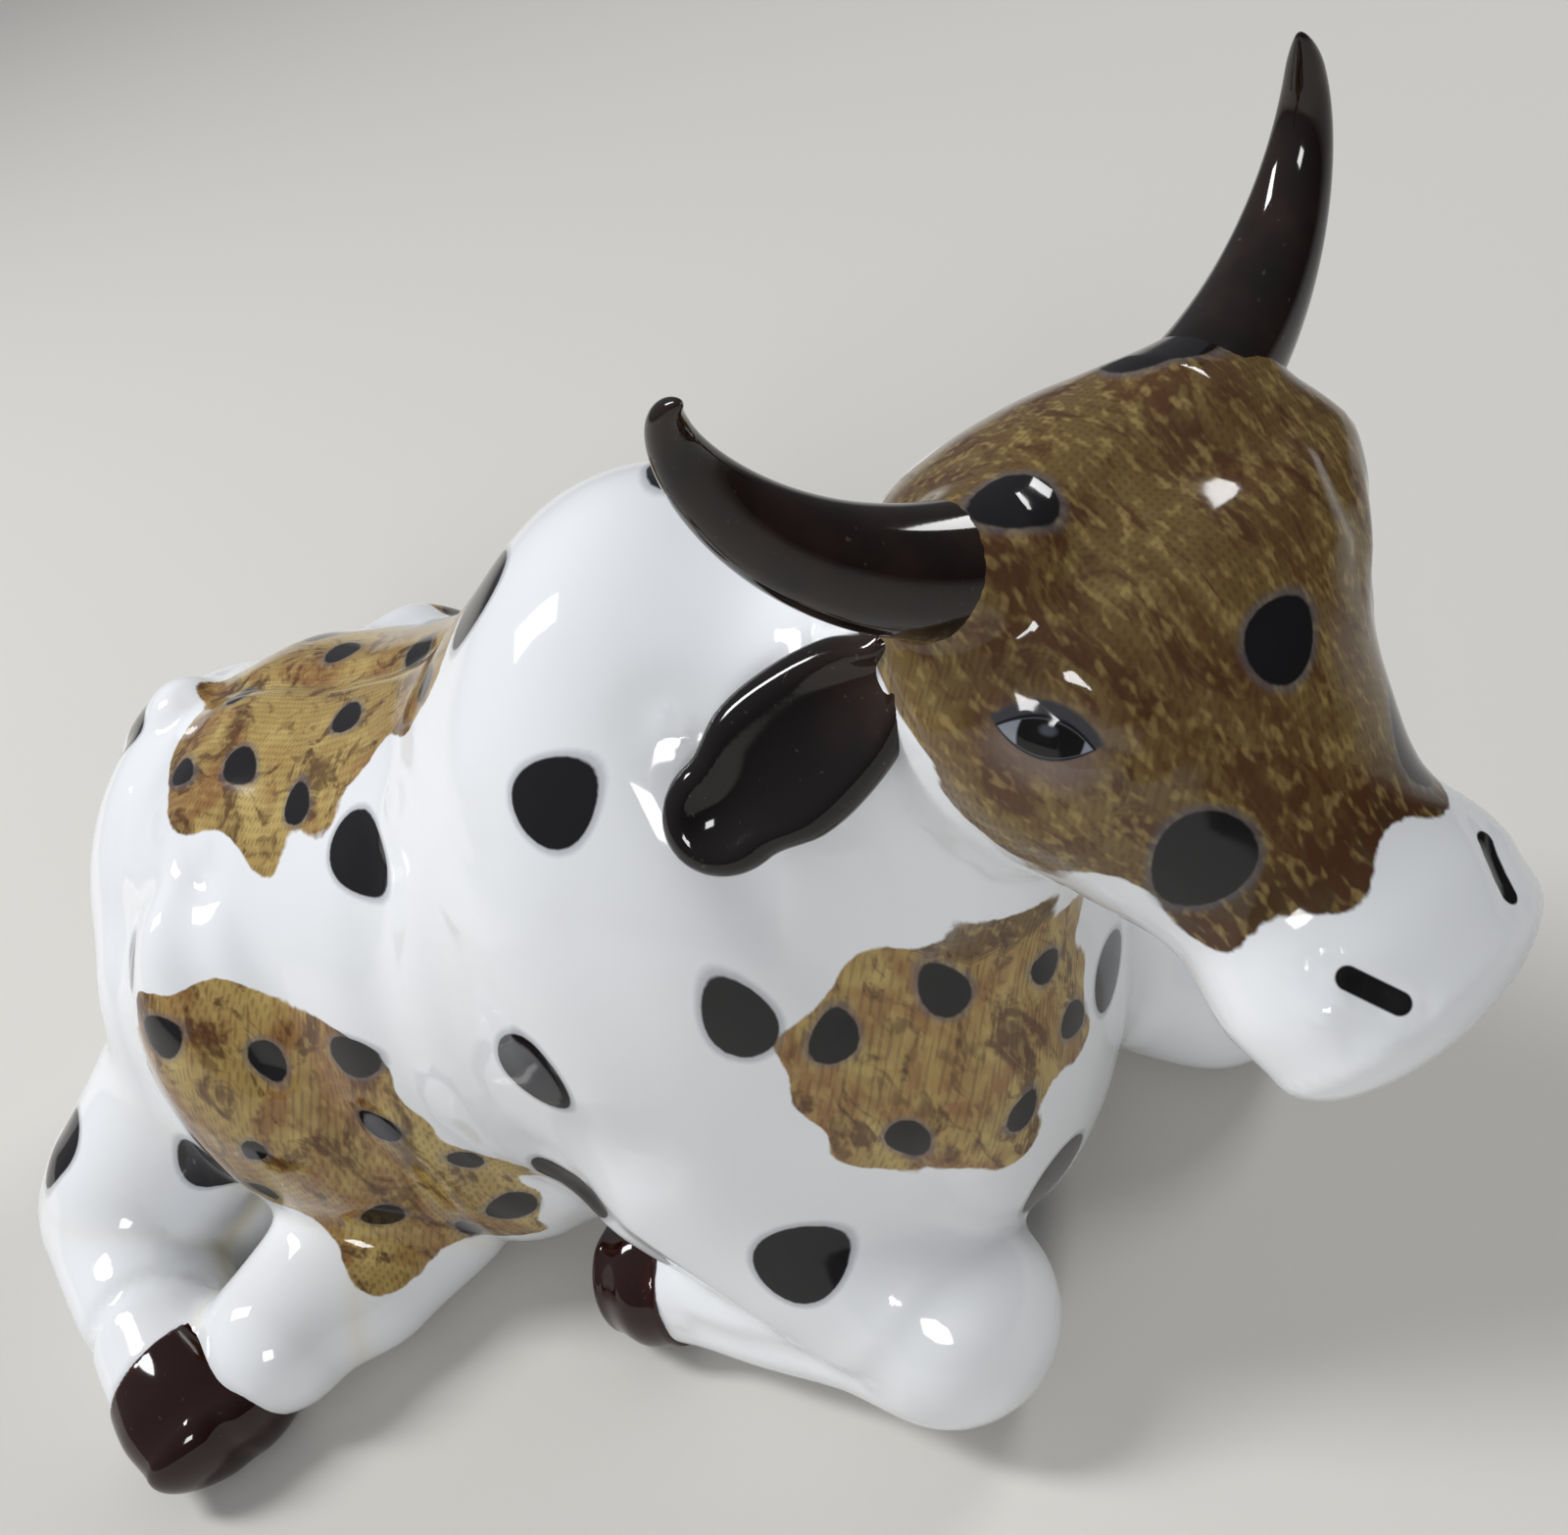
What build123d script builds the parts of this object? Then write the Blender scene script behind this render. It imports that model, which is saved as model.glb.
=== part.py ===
"""Reclining cow figurine in glazed ceramic, built from its separately cast pieces.

The cow faces +X, its left side is +Y, and it lies on the plane z = 0.
The origin is the middle of the torso's flat resting face.
"""

import os
from math import cos, hypot, sin, tau

from build123d import *

os.makedirs("parts", exist_ok=True)

# Driving dimensions in millimetres
body_length = 116.0
body_width = 58.0
withers_height = 86.0
rump_reach = 15.0
brisket_reach = 10.0
head_length = 48.0
head_width = 36.0
head_depth = 28.0
crown_reach = 9.0
muzzle_reach = 5.0
neck_width = 30.0
horn_base = 9.6
horn_tip = 1.4
horn_spread = 18.0
horn_rise = 17.0
ear_length = 22.0
ear_width = 12.0
ear_thickness = 6.0
ear_dish = 1.6
knee_size = 21.0
fore_hoof_length = 9.0
hock_size = 18.0
hind_hoof_length = 13.0
haunch_length = 44.0
haunch_height = 50.0
haunch_width = 26.0
udder_size = 17.0
web_height = 4.5
tail_root = 9.0
tail_tip = 6.0

# Set of the head, in degrees: nose down, and turned to the cow's right
head_nod = 47.0
head_turn = -28.0

# Flats round a section: the forms are faceted, which keeps the solids light
body_flats = 24
limb_flats = 16
horn_flats = 12

# Sections of a domed end: each as shares of the end's reach and of the form's size there
dome_shares = ((0.38, 0.92), (0.71, 0.71), (0.92, 0.38), (1.00, 0.12))

ground = Plane.XY
forward = Vector(1, 0, 0)
leftward = Vector(0, 1, 0)
upward = Vector(0, 0, 1)


def stand(x_share, y_share, z_share):
    """Point in shares of the body's length, width and height."""
    return Vector(body_length * x_share, body_width * y_share, withers_height * z_share)


def ring(centre, run, side, wide, tall, flats):
    """Corners of an oval section, with flats that face the same ways in every section of a form."""
    level = (side - run * side.dot(run)).normalized()
    rise = run.cross(level)
    step = tau / flats
    reaches = [hypot(wide * cos(step * i), tall * sin(step * i)) / 2 for i in range(flats + 1)]
    corners = []
    for i in range(flats):
        across = reaches[i] * sin(step * (i + 1)) - reaches[i + 1] * sin(step * i)
        along = reaches[i + 1] * cos(step * i) - reaches[i] * cos(step * (i + 1))
        corners.append(centre + (level * across + rise * along) / sin(step))
    return corners


def form_rings(centres, sizes, side, start_reach, end_reach, flats, run=None):
    """Sections of a form along its centres, domed at its ends, and square to one run or to the bend."""
    last = len(centres) - 1
    runs = []
    for i in range(len(centres)):
        bend = centres[min(i + 1, last)] - centres[max(i - 1, 0)]
        runs.append(run or bend.normalized())
    places = [(centre, way, size) for centre, way, size in zip(centres, runs, sizes)]
    for reach_share, size_share in dome_shares:
        small = tuple(length * size_share for length in sizes[0])
        places.insert(0, (centres[0] - runs[0] * start_reach * reach_share, runs[0], small))
        small = tuple(length * size_share for length in sizes[last])
        places.append((centres[last] + runs[last] * end_reach * reach_share, runs[last], small))
    return [ring(centre, way, side, *size, flats) for centre, way, size in places]


def faceted(rings):
    """Closed solid with flat facets from ring to ring."""
    facets = [Face(Wire.make_polygon(rings[0])), Face(Wire.make_polygon(rings[-1]))]
    for near, far in zip(rings, rings[1:]):
        for i in range(len(near)):
            after = (i + 1) % len(near)
            facets.append(Face(Wire.make_polygon((near[i], near[after], far[after]))))
            facets.append(Face(Wire.make_polygon((near[i], far[after], far[i]))))
    return Solid(Shell(facets))


def eased(rows):
    """Rows of shares with one more between each two, on a smooth curve through them all."""
    last = len(rows) - 1
    smooth = [rows[0]]
    for i in range(last):
        near, far = zip(rows[i], rows[i + 1]), zip(rows[max(i - 1, 0)], rows[min(i + 2, last)])
        smooth.append(tuple((9 * sum(pair) - sum(ends)) / 16 for pair, ends in zip(near, far)))
        smooth.append(rows[i + 1])
    return smooth


def finish(piece, name):
    """Name a finished piece and write its file."""
    piece.part.label = name
    export_step(piece.part, f"parts/{name}.step")


# Torso: barrel, shoulders and brisket in one casting, flat where it rests
# Each row: place along the body, width, top and foot, in shares of the body's sizes
torso_shares = (
    (-0.500, 0.84, 0.665, 0.015),
    (-0.400, 0.97, 0.710, -0.045),
    (-0.270, 1.00, 0.740, -0.050),
    (-0.150, 1.00, 0.810, -0.050),
    (-0.085, 0.96, 0.890, -0.050),
    (-0.010, 0.98, 0.970, -0.050),
    (0.060, 0.99, 0.985, -0.030),
    (0.130, 0.96, 0.935, 0.010),
    (0.200, 0.88, 0.825, 0.050),
    (0.260, 0.76, 0.700, 0.090),
)
torso_centres = []
torso_sizes = []
for x_share, width_share, top_share, foot_share in eased(torso_shares):
    torso_centres.append(stand(x_share, 0, (top_share + foot_share) / 2))
    torso_sizes.append((body_width * width_share, withers_height * (top_share - foot_share)))

with BuildPart() as torso:
    rings = form_rings(torso_centres, torso_sizes, leftward, rump_reach, brisket_reach, body_flats, forward)
    add(faceted(rings))
    split(bisect_by=ground, keep=Keep.TOP)
finish(torso, "torso")

# Head: skull and muzzle along the face, and the neck that carries them
poll_shares = (0.385, 0.015, 1.020)
poll = stand(*poll_shares)
face = forward.rotate(Axis.Y, head_nod).rotate(Axis.Z, head_turn)
crown = upward.rotate(Axis.Y, head_nod).rotate(Axis.Z, head_turn)
head_plane = Plane(origin=poll, x_dir=face, z_dir=crown)
head_side = head_plane.y_dir


def on_head(x_share, y_share, z_share):
    """Point in shares of the head's length, width and depth, from the poll."""
    place = Vector(head_length * x_share, head_width * y_share, head_depth * z_share)
    return head_plane.from_local_coords(place)


# Each row: place along the face, drop of the middle, width and depth
skull_shares = (
    (0.030, -0.33, 0.90, 0.88),
    (0.190, -0.31, 1.00, 1.00),
    (0.340, -0.32, 0.95, 0.97),
    (0.500, -0.31, 0.77, 0.84),
    (0.660, -0.28, 0.64, 0.68),
    (0.780, -0.24, 0.72, 0.64),
    (0.880, -0.22, 0.70, 0.60),
)
skull_rows = eased(skull_shares)
skull_centres = [on_head(x, 0, drop) for x, drop, wide, deep in skull_rows]
skull_sizes = [(head_width * wide, head_depth * deep) for x, drop, wide, deep in skull_rows]

# Each row: place in shares of the body's length and height, then width and depth of the neck
neck_shares = ((0.110, 0.600, 1.25, 1.25), (0.220, 0.720, 1.10, 1.15), (0.340, 0.860, 0.93, 0.95))
neck_rows = eased(neck_shares)
neck_centres = [stand(x, 0, z) for x, z, wide, deep in neck_rows]
neck_sizes = [(neck_width * wide, neck_width * deep) for x, z, wide, deep in neck_rows]
neck_run = (neck_centres[-1] - neck_centres[0]).normalized()

with BuildPart() as head:
    rings = form_rings(skull_centres, skull_sizes, head_side, crown_reach, muzzle_reach, body_flats, face)
    add(faceted(rings))
    neck_reaches = (neck_width / 2, neck_width / 4)
    rings = form_rings(neck_centres, neck_sizes, leftward, *neck_reaches, body_flats, neck_run)
    add(faceted(rings))
    add(torso.part, mode=Mode.SUBTRACT)
finish(head, "head")

# Horns: tapered along a curve that goes out from the side of the crown and then up and back
horn_root_shares = (0.02, 0.26, -0.06)
# Each point: how far outward, crownward and back it lies, in shares of the horn's spread and rise
horn_line_shares = {
    "left": ((0.00, 0.00, 0.00), (0.85, -0.12, 0.10), (1.30, 0.25, 0.68), (1.00, 0.70, 0.92)),
    "right": ((0.00, 0.00, 0.00), (0.85, 0.10, 0.35), (1.02, 0.50, 1.15), (0.96, 0.85, 1.00)),
}
horn_steps = 9
# A taper of one would be a straight cone, and more keeps the root thick for longer
horn_taper = 1.5

horns = {}
for name, flip in (("left", 1), ("right", -1)):
    along_share, side_share, lift_share = horn_root_shares
    horn_root = on_head(along_share, side_share * flip, lift_share)
    horn_points = []
    for out_share, up_share, back_share in horn_line_shares[name]:
        lift = crown * horn_rise * up_share - face * horn_rise * back_share
        horn_points.append(horn_root + head_side * flip * horn_spread * out_share + lift)
    horn_flank = head_side.cross(horn_points[-1] - horn_root).normalized()
    with BuildLine() as horn_line:
        Bezier(*horn_points)
    horn_centres = []
    horn_sizes = []
    for step in range(horn_steps):
        place = step / (horn_steps - 1)
        thick = horn_tip + (horn_base - horn_tip) * (1 - place**horn_taper)
        horn_centres.append(horn_line.line @ place)
        horn_sizes.append((thick, thick))
    with BuildPart() as horn:
        rings = form_rings(horn_centres, horn_sizes, horn_flank, horn_base / 4, horn_tip / 2, horn_flats)
        add(faceted(rings))
        add(head.part, mode=Mode.SUBTRACT)
    finish(horn, f"{name}_horn")
    horns[name] = horn.part

# Ears: leaf shapes below the horns, with a dished inner face turned forward
ear_root_shares = (0.05, 0.44, -0.29)
ear_root = on_head(*ear_root_shares)
# Direction of the ear: outward from the head, forward along the face and down from the crown
ear_run_shares = (0.77, 0.08, -0.63)
ear_out, ear_ahead, ear_lift = ear_run_shares
ear_run = (head_side * ear_out + face * ear_ahead + crown * ear_lift).normalized()
ear_front = ear_run.cross(face)
# Each row: place along the ear, width and thickness, and the width of the dish in the ear
ear_shares = (
    (0.12, 0.62, 0.90, 0.52),
    (0.34, 0.90, 1.00, 0.70),
    (0.56, 1.00, 0.92, 0.74),
    (0.76, 0.84, 0.78, 0.62),
)
ear_tip_share = 0.24
dish_tip_share = 0.16
ear_centres = []
ear_sizes = []
dish_centres = []
dish_sizes = []
for along, wide, thick, dish in eased(ear_shares):
    centre = ear_root + ear_run * ear_length * along
    ear_centres.append(centre)
    ear_sizes.append((ear_width * wide, ear_thickness * thick))
    dish_centres.append(centre - ear_front * ear_thickness / 2)
    dish_sizes.append((ear_width * wide * dish, ear_dish * 2))
ear_tip_reach = ear_length * ear_tip_share
dish_tip_reach = ear_length * dish_tip_share

with BuildPart() as left_ear:
    rings = form_rings(ear_centres, ear_sizes, face, ear_thickness / 2, ear_tip_reach, limb_flats, ear_run)
    add(faceted(rings))
    rings = form_rings(dish_centres, dish_sizes, face, ear_dish, dish_tip_reach, limb_flats, ear_run)
    add(faceted(rings), mode=Mode.SUBTRACT)
    add(head.part, mode=Mode.SUBTRACT)
    add(horns["left"], mode=Mode.SUBTRACT)
finish(left_ear, "left_ear")

head_middle = Plane(origin=poll, x_dir=face, z_dir=head_side)

with BuildPart() as right_ear:
    mirror(left_ear.part, about=head_middle)
    add(head.part, mode=Mode.SUBTRACT)
    add(horns["right"], mode=Mode.SUBTRACT)
finish(right_ear, "right_ear")


def leg_sections(rows, size, flip, start_reach, end_reach):
    """Sections of one stretch of a leg, on the right side or flipped to the left."""
    smooth = eased(rows)
    centres = [stand(x, y * flip, z) for x, y, z, wide, deep in smooth]
    sizes = [(size * wide, size * deep) for x, y, z, wide, deep in smooth]
    run = (centres[-1] - centres[0]).normalized()
    return form_rings(centres, sizes, leftward, start_reach, end_reach, limb_flats, run)


def ahead(rows, lead_share, wide_share):
    """The same stretch, moved along and across the body by shares of its sizes."""
    return tuple((x + lead_share, y + wide_share, z, wide, deep) for x, y, z, wide, deep in rows)


# Forelegs: folded, knee forward on the ground and hoof tucked back beside the belly
# Each row: place in shares of the body's length, width and height, then width and depth of the section
forearm_shares = (
    (0.045, -0.330, 0.310, 1.15, 1.35),
    (0.125, -0.360, 0.222, 1.08, 1.15),
    (0.190, -0.385, 0.160, 1.00, 1.00),
)
fore_cannon_shares = (
    (0.235, -0.400, 0.120, 1.00, 1.00),
    (0.155, -0.400, 0.104, 0.84, 0.85),
    (0.075, -0.410, 0.092, 0.74, 0.74),
    (-0.005, -0.415, 0.084, 0.66, 0.68),
)
fore_hoof_shares = (
    (-0.035, -0.420, 0.080, 0.70, 0.72),
    (-0.065, -0.420, 0.074, 0.62, 0.66),
)
# How far each foreleg lies ahead and to the cow's right, in shares of the body's length and width
foreleg_places = {"right": (0.0, 0.0), "left": (0.13, 0.04)}
# Sections of a cannon, with its dome at the knee or hock
fore_count = len(dome_shares) + len(eased(fore_cannon_shares))

for name, flip in (("right", 1), ("left", -1)):
    rows = ahead(forearm_shares, *foreleg_places[name])
    forearm = leg_sections(rows, knee_size, flip, knee_size / 2, knee_size / 3)
    rows = ahead(fore_cannon_shares + fore_hoof_shares, *foreleg_places[name])
    lower_leg = leg_sections(rows, knee_size, flip, knee_size / 2, fore_hoof_length / 4)
    with BuildPart() as foreleg:
        add(faceted(forearm))
        add(faceted(lower_leg[:fore_count]))
        add(torso.part, mode=Mode.SUBTRACT)
        split(bisect_by=ground, keep=Keep.TOP)
    finish(foreleg, f"{name}_foreleg")

    with BuildPart() as fore_hoof:
        add(faceted(lower_leg[fore_count - 1 :]))
        add(torso.part, mode=Mode.SUBTRACT)
        split(bisect_by=ground, keep=Keep.TOP)
    finish(fore_hoof, f"{name}_fore_hoof")

# Hind legs: haunch against the body, hock on the ground and cannon lying forward
# Each haunch row: place in shares of the body's length and width and of the haunch's own height,
# then width and depth in shares of the haunch's own sizes
haunch_shares = (
    (-0.490, -0.33, 0.516, 0.80, 0.74),
    (-0.385, -0.36, 0.568, 1.00, 1.00),
    (-0.280, -0.36, 0.499, 0.92, 0.88),
    (-0.195, -0.34, 0.361, 0.66, 0.58),
)


def haunch_sections(flip):
    """Sections of a haunch, standing square across the body."""
    smooth = eased(haunch_shares)
    centres = [stand(x, y * flip, 0) + upward * haunch_height * z for x, y, z, wide, deep in smooth]
    sizes = [(haunch_width * wide, haunch_height * deep) for x, y, z, wide, deep in smooth]
    return form_rings(centres, sizes, leftward, haunch_length / 5, haunch_length / 4, limb_flats, forward)


# The right hind leg is thrown out to the side, and the left one lies along the body
shank_shares = {
    "right": ((-0.530, -0.40, 0.220, 1.20, 1.25), (-0.575, -0.55, 0.150, 1.05, 1.15)),
    "left": ((-0.500, -0.42, 0.200, 1.10, 1.20), (-0.520, -0.50, 0.130, 0.95, 1.05)),
}
hind_cannon_shares = {
    "right": (
        (-0.605, -0.610, 0.108, 0.90, 0.96),
        (-0.555, -0.690, 0.098, 0.84, 0.88),
        (-0.502, -0.765, 0.089, 0.80, 0.82),
        (-0.450, -0.835, 0.080, 0.80, 0.76),
    ),
    "left": (
        (-0.520, -0.530, 0.105, 0.95, 0.98),
        (-0.445, -0.545, 0.096, 0.82, 0.86),
        (-0.368, -0.552, 0.088, 0.74, 0.78),
        (-0.290, -0.555, 0.080, 0.72, 0.72),
    ),
}
hind_hoof_shares = {
    "right": ((-0.412, -0.872, 0.072, 0.88, 0.72), (-0.375, -0.900, 0.062, 0.90, 0.60)),
    "left": ((-0.262, -0.555, 0.074, 0.76, 0.70), (-0.215, -0.555, 0.062, 0.82, 0.60)),
}
# Low web of clay between the body, the thrown-out leg and the udder
web_shares = ((-0.52, -0.30), (-0.57, -0.62), (-0.43, -0.80), (-0.35, -0.62), (-0.28, -0.36))

hind_legs = {}
hind_hooves = {}
for name, flip in (("right", 1), ("left", -1)):
    shank = leg_sections(shank_shares[name], hock_size, flip, hock_size / 2, hock_size / 2)
    rows = hind_cannon_shares[name] + hind_hoof_shares[name]
    hind_count = len(dome_shares) + len(eased(hind_cannon_shares[name]))
    lower_leg = leg_sections(rows, hock_size, flip, hock_size / 2, hind_hoof_length / 4)
    with BuildPart() as hind_leg:
        add(faceted(haunch_sections(flip)))
        add(faceted(shank))
        add(faceted(lower_leg[:hind_count]))
        if name == "right":
            with BuildSketch(ground):
                with BuildLine():
                    Polyline(*[stand(x, y, 0) for x, y in web_shares], close=True)
                make_face()
            extrude(amount=web_height)
        add(torso.part, mode=Mode.SUBTRACT)
        split(bisect_by=ground, keep=Keep.TOP)
    finish(hind_leg, f"{name}_hind_leg")
    hind_legs[name] = hind_leg.part

    with BuildPart() as hind_hoof:
        add(faceted(lower_leg[hind_count - 1 :]))
        add(hind_leg.part, mode=Mode.SUBTRACT)
        split(bisect_by=ground, keep=Keep.TOP)
    finish(hind_hoof, f"{name}_hind_hoof")
    hind_hooves[name] = hind_hoof.part

# Udder: two rounded lobes that lie out on the ground between the hind leg and the belly
udder_lobe_shares = (
    ((-0.325, -0.46, 0.105, 0.96, 1.00), (-0.360, -0.72, 0.092, 0.94, 0.92)),
    ((-0.270, -0.42, 0.090, 0.80, 0.90), (-0.300, -0.57, 0.080, 0.74, 0.80)),
)

with BuildPart() as udder:
    for rows in udder_lobe_shares:
        rings = leg_sections(rows, udder_size, 1, udder_size / 3, udder_size / 2)
        add(faceted(rings))
    add(torso.part, mode=Mode.SUBTRACT)
    add(hind_legs["right"], mode=Mode.SUBTRACT)
    add(hind_hooves["right"], mode=Mode.SUBTRACT)
    split(bisect_by=ground, keep=Keep.TOP)
finish(udder, "udder")

# Tail: laid down the middle of the rump, then round on the ground to the left
tail_shares = (
    (-0.500, 0.02, 0.640),
    (-0.590, 0.02, 0.540),
    (-0.640, 0.03, 0.380),
    (-0.640, 0.07, 0.210),
    (-0.610, 0.17, 0.100),
    (-0.560, 0.31, 0.055),
)
tail_centres = [stand(x, y, z) for x, y, z in eased(tail_shares)]
tail_sizes = []
for step in range(len(tail_centres)):
    thick = tail_root + (tail_tip - tail_root) * step / (len(tail_centres) - 1)
    tail_sizes.append((thick, thick))
tail_side_shares = (0.6, -0.8, 0.0)
tail_side = Vector(*tail_side_shares)

with BuildPart() as tail:
    rings = form_rings(tail_centres, tail_sizes, tail_side, tail_root / 2, tail_tip / 2, horn_flats)
    add(faceted(rings))
    add(torso.part, mode=Mode.SUBTRACT)
    add(hind_legs["left"], mode=Mode.SUBTRACT)
    add(hind_legs["right"], mode=Mode.SUBTRACT)
    split(bisect_by=ground, keep=Keep.TOP)
finish(tail, "tail")
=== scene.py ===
"""Dresses the cow figurine: one glazed skin over its castings, with horns, ears, hooves and a stage."""

from math import radians

import bpy
import numpy as np
import openvdb
from mathutils import Matrix, Vector


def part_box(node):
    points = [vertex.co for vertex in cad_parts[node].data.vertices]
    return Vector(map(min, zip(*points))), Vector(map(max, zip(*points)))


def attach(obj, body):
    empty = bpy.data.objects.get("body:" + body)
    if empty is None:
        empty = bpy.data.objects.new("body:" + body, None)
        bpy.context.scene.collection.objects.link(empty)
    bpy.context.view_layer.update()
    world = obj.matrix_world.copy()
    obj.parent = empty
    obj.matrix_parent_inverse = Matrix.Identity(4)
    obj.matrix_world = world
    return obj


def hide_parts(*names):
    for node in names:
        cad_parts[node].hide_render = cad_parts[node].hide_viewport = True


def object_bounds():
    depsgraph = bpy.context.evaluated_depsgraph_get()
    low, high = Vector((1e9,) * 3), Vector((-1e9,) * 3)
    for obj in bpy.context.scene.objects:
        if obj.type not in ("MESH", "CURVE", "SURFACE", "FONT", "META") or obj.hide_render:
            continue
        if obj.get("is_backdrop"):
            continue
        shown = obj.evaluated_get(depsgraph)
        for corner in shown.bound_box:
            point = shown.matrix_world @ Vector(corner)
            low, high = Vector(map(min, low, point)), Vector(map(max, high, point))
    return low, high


bl_info = {
    "name": "Glazed Cow Figurine",
    "version": (1, 0, 0),
    "blender": (4, 5, 0),
    "location": "3D View > Sidebar > Cow Figurine",
    "description": "Builds the glazed skin, horns, ears and hooves of a reclining cow figurine",
    "category": "Object",
}

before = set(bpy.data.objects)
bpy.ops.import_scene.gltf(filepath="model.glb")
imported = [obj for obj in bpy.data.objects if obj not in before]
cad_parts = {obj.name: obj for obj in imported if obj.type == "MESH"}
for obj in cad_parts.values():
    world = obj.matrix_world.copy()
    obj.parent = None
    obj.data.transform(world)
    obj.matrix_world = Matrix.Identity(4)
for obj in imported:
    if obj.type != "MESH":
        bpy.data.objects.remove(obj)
cad_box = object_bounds()

MM = 0.001
FORWARD = np.array((1.0, 0.0, 0.0))
LEFTWARD = np.array((0.0, 1.0, 0.0))
UPWARD = np.array((0.0, 0.0, 1.0))
# No distance from a form needs to be known past this
FAR = 50 * MM
# Step over which the slope of a form is measured
SLOPE_STEP = 0.3 * MM


# Vectors and curves

def unit(vector):
    """The same direction with a length of one."""
    vector = np.asarray(vector, float)
    return vector / np.linalg.norm(vector)


def turned(vector, axis, turn):
    """A direction turned about an axis, by an angle in radians."""
    return np.array(Matrix.Rotation(turn, 3, axis) @ Vector(vector))


def unit_rows(vectors):
    """Each row with a length of one."""
    return vectors / np.maximum(np.linalg.norm(vectors, axis=1), 1e-9)[:, None]


def on_curve(stations, values, at, level_ends=True):
    """Values between stations, on a curve without kinks, which can end level."""
    values = np.asarray(values, float)
    slopes = np.gradient(values, stations, axis=0)
    if level_ends:
        slopes[0] = slopes[-1] = 0
    start = np.clip(np.searchsorted(stations, at, side="right") - 1, 0, len(stations) - 2)
    span = stations[start + 1] - stations[start]
    t = ((at - stations[start]) / span)[:, None]
    span = span[:, None]
    rise = values[start + 1] - values[start]
    bow = (1 - t) * (slopes[start] * span - rise) - t * (slopes[start + 1] * span - rise)
    return values[start] + t * rise + t * (1 - t) * bow


def path_points(corners, count):
    """Points evenly spread along a smooth curve through given corners."""
    stations = np.arange(len(corners), dtype=float)
    return on_curve(stations, corners, np.linspace(0, stations[-1], count), level_ends=False)


# Forms: each is a function that gives how far points lie outside it, in metres

def oval_distance(across, rise, beyond, wide, tall, reach):
    """Distance outside an ellipsoid, from the coordinates in its own frame."""
    scaled = np.sqrt((across / wide) ** 2 + (rise / tall) ** 2 + (beyond / reach) ** 2)
    steep = np.sqrt((across / wide**2) ** 2 + (rise / tall**2) ** 2 + (beyond / reach**2) ** 2)
    return scaled * (scaled - 1) / np.maximum(steep, 1)


def straight_form(centres, sizes, side, start_reach, end_reach, run):
    """Form of oval sections that all stand square to one run, domed past its first and last section."""
    centres = np.array(centres)
    half_sizes = np.array(sizes) / 2
    level = unit(side - run * (side @ run))
    rise = np.cross(run, level)
    stations = (centres - centres[0]) @ run
    table = np.column_stack(((centres - centres[0]) @ level, (centres - centres[0]) @ rise, half_sizes))

    def distance(points):
        local = points - centres[0]
        along = local @ run
        held = np.clip(along, 0, stations[-1])
        middle_across, middle_rise, wide, tall = on_curve(stations, table, held).T
        beyond = along - held
        reach = np.where(beyond < 0, start_reach, end_reach)
        across, lift = local @ level - middle_across, local @ rise - middle_rise
        return oval_distance(across, lift, beyond, wide, tall, reach)

    return distance


def bent_form(centres, radii):
    """Round form that follows a bent path."""
    centres = np.asarray(centres)
    radii = np.asarray(radii)

    def distance(points):
        nearest = np.full(len(points), FAR)
        for i in range(len(centres) - 1):
            run = centres[i + 1] - centres[i]
            local = points - centres[i]
            t = np.clip(local @ run / (run @ run), 0, 1)
            gap = np.linalg.norm(local - t[:, None] * run, axis=1) - radii[i] - t * (radii[i + 1] - radii[i])
            nearest = np.minimum(nearest, gap)
        return nearest

    return distance


def lump(centre, reaches, axes=(FORWARD, LEFTWARD, UPWARD)):
    """Ellipsoid about a centre, with its own directions."""
    centre = np.asarray(centre)
    axes = np.array(axes)

    def distance(points):
        local = (points - centre) @ axes.T
        return oval_distance(local[:, 0], local[:, 1], local[:, 2], *reaches)

    return distance


def blended(near, other, width):
    """Two distances joined with a soft fillet about as wide as given, as a cubic smooth minimum."""
    mix = np.maximum(width - np.abs(near - other), 0) / width
    return np.minimum(near, other) - mix * mix * mix * width / 6


def line_distance(points, path):
    """Distance from a line through a few points."""
    return bent_form(path, np.zeros(len(path)))(points)


# Meshes from forms

def within(points, low, high):
    """Which points lie inside a box."""
    return np.flatnonzero(((points > low) & (points < high)).all(axis=1))


def slope_of(points, distance, step):
    """How the distance changes along each axis."""
    slope = np.empty_like(points)
    for axis in range(3):
        shift = np.zeros(3)
        shift[axis] = step
        slope[:, axis] = (distance(points + shift) - distance(points - shift)) / (2 * step)
    return slope


def settled(points, surface, step, most):
    """Points moved onto a surface, in three steps along its slope that are held to a longest one."""
    for _ in range(3):
        slope = slope_of(points, surface, step)
        # Held up, so that a slight slope makes no wild step
        steep = np.maximum((slope**2).sum(axis=1), 0.2)
        move = slope * (surface(points) / steep)[:, None]
        length = np.linalg.norm(move, axis=1)[:, None]
        points = points - move * np.minimum(1, most / np.maximum(length, most / 100))
    return points


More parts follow.
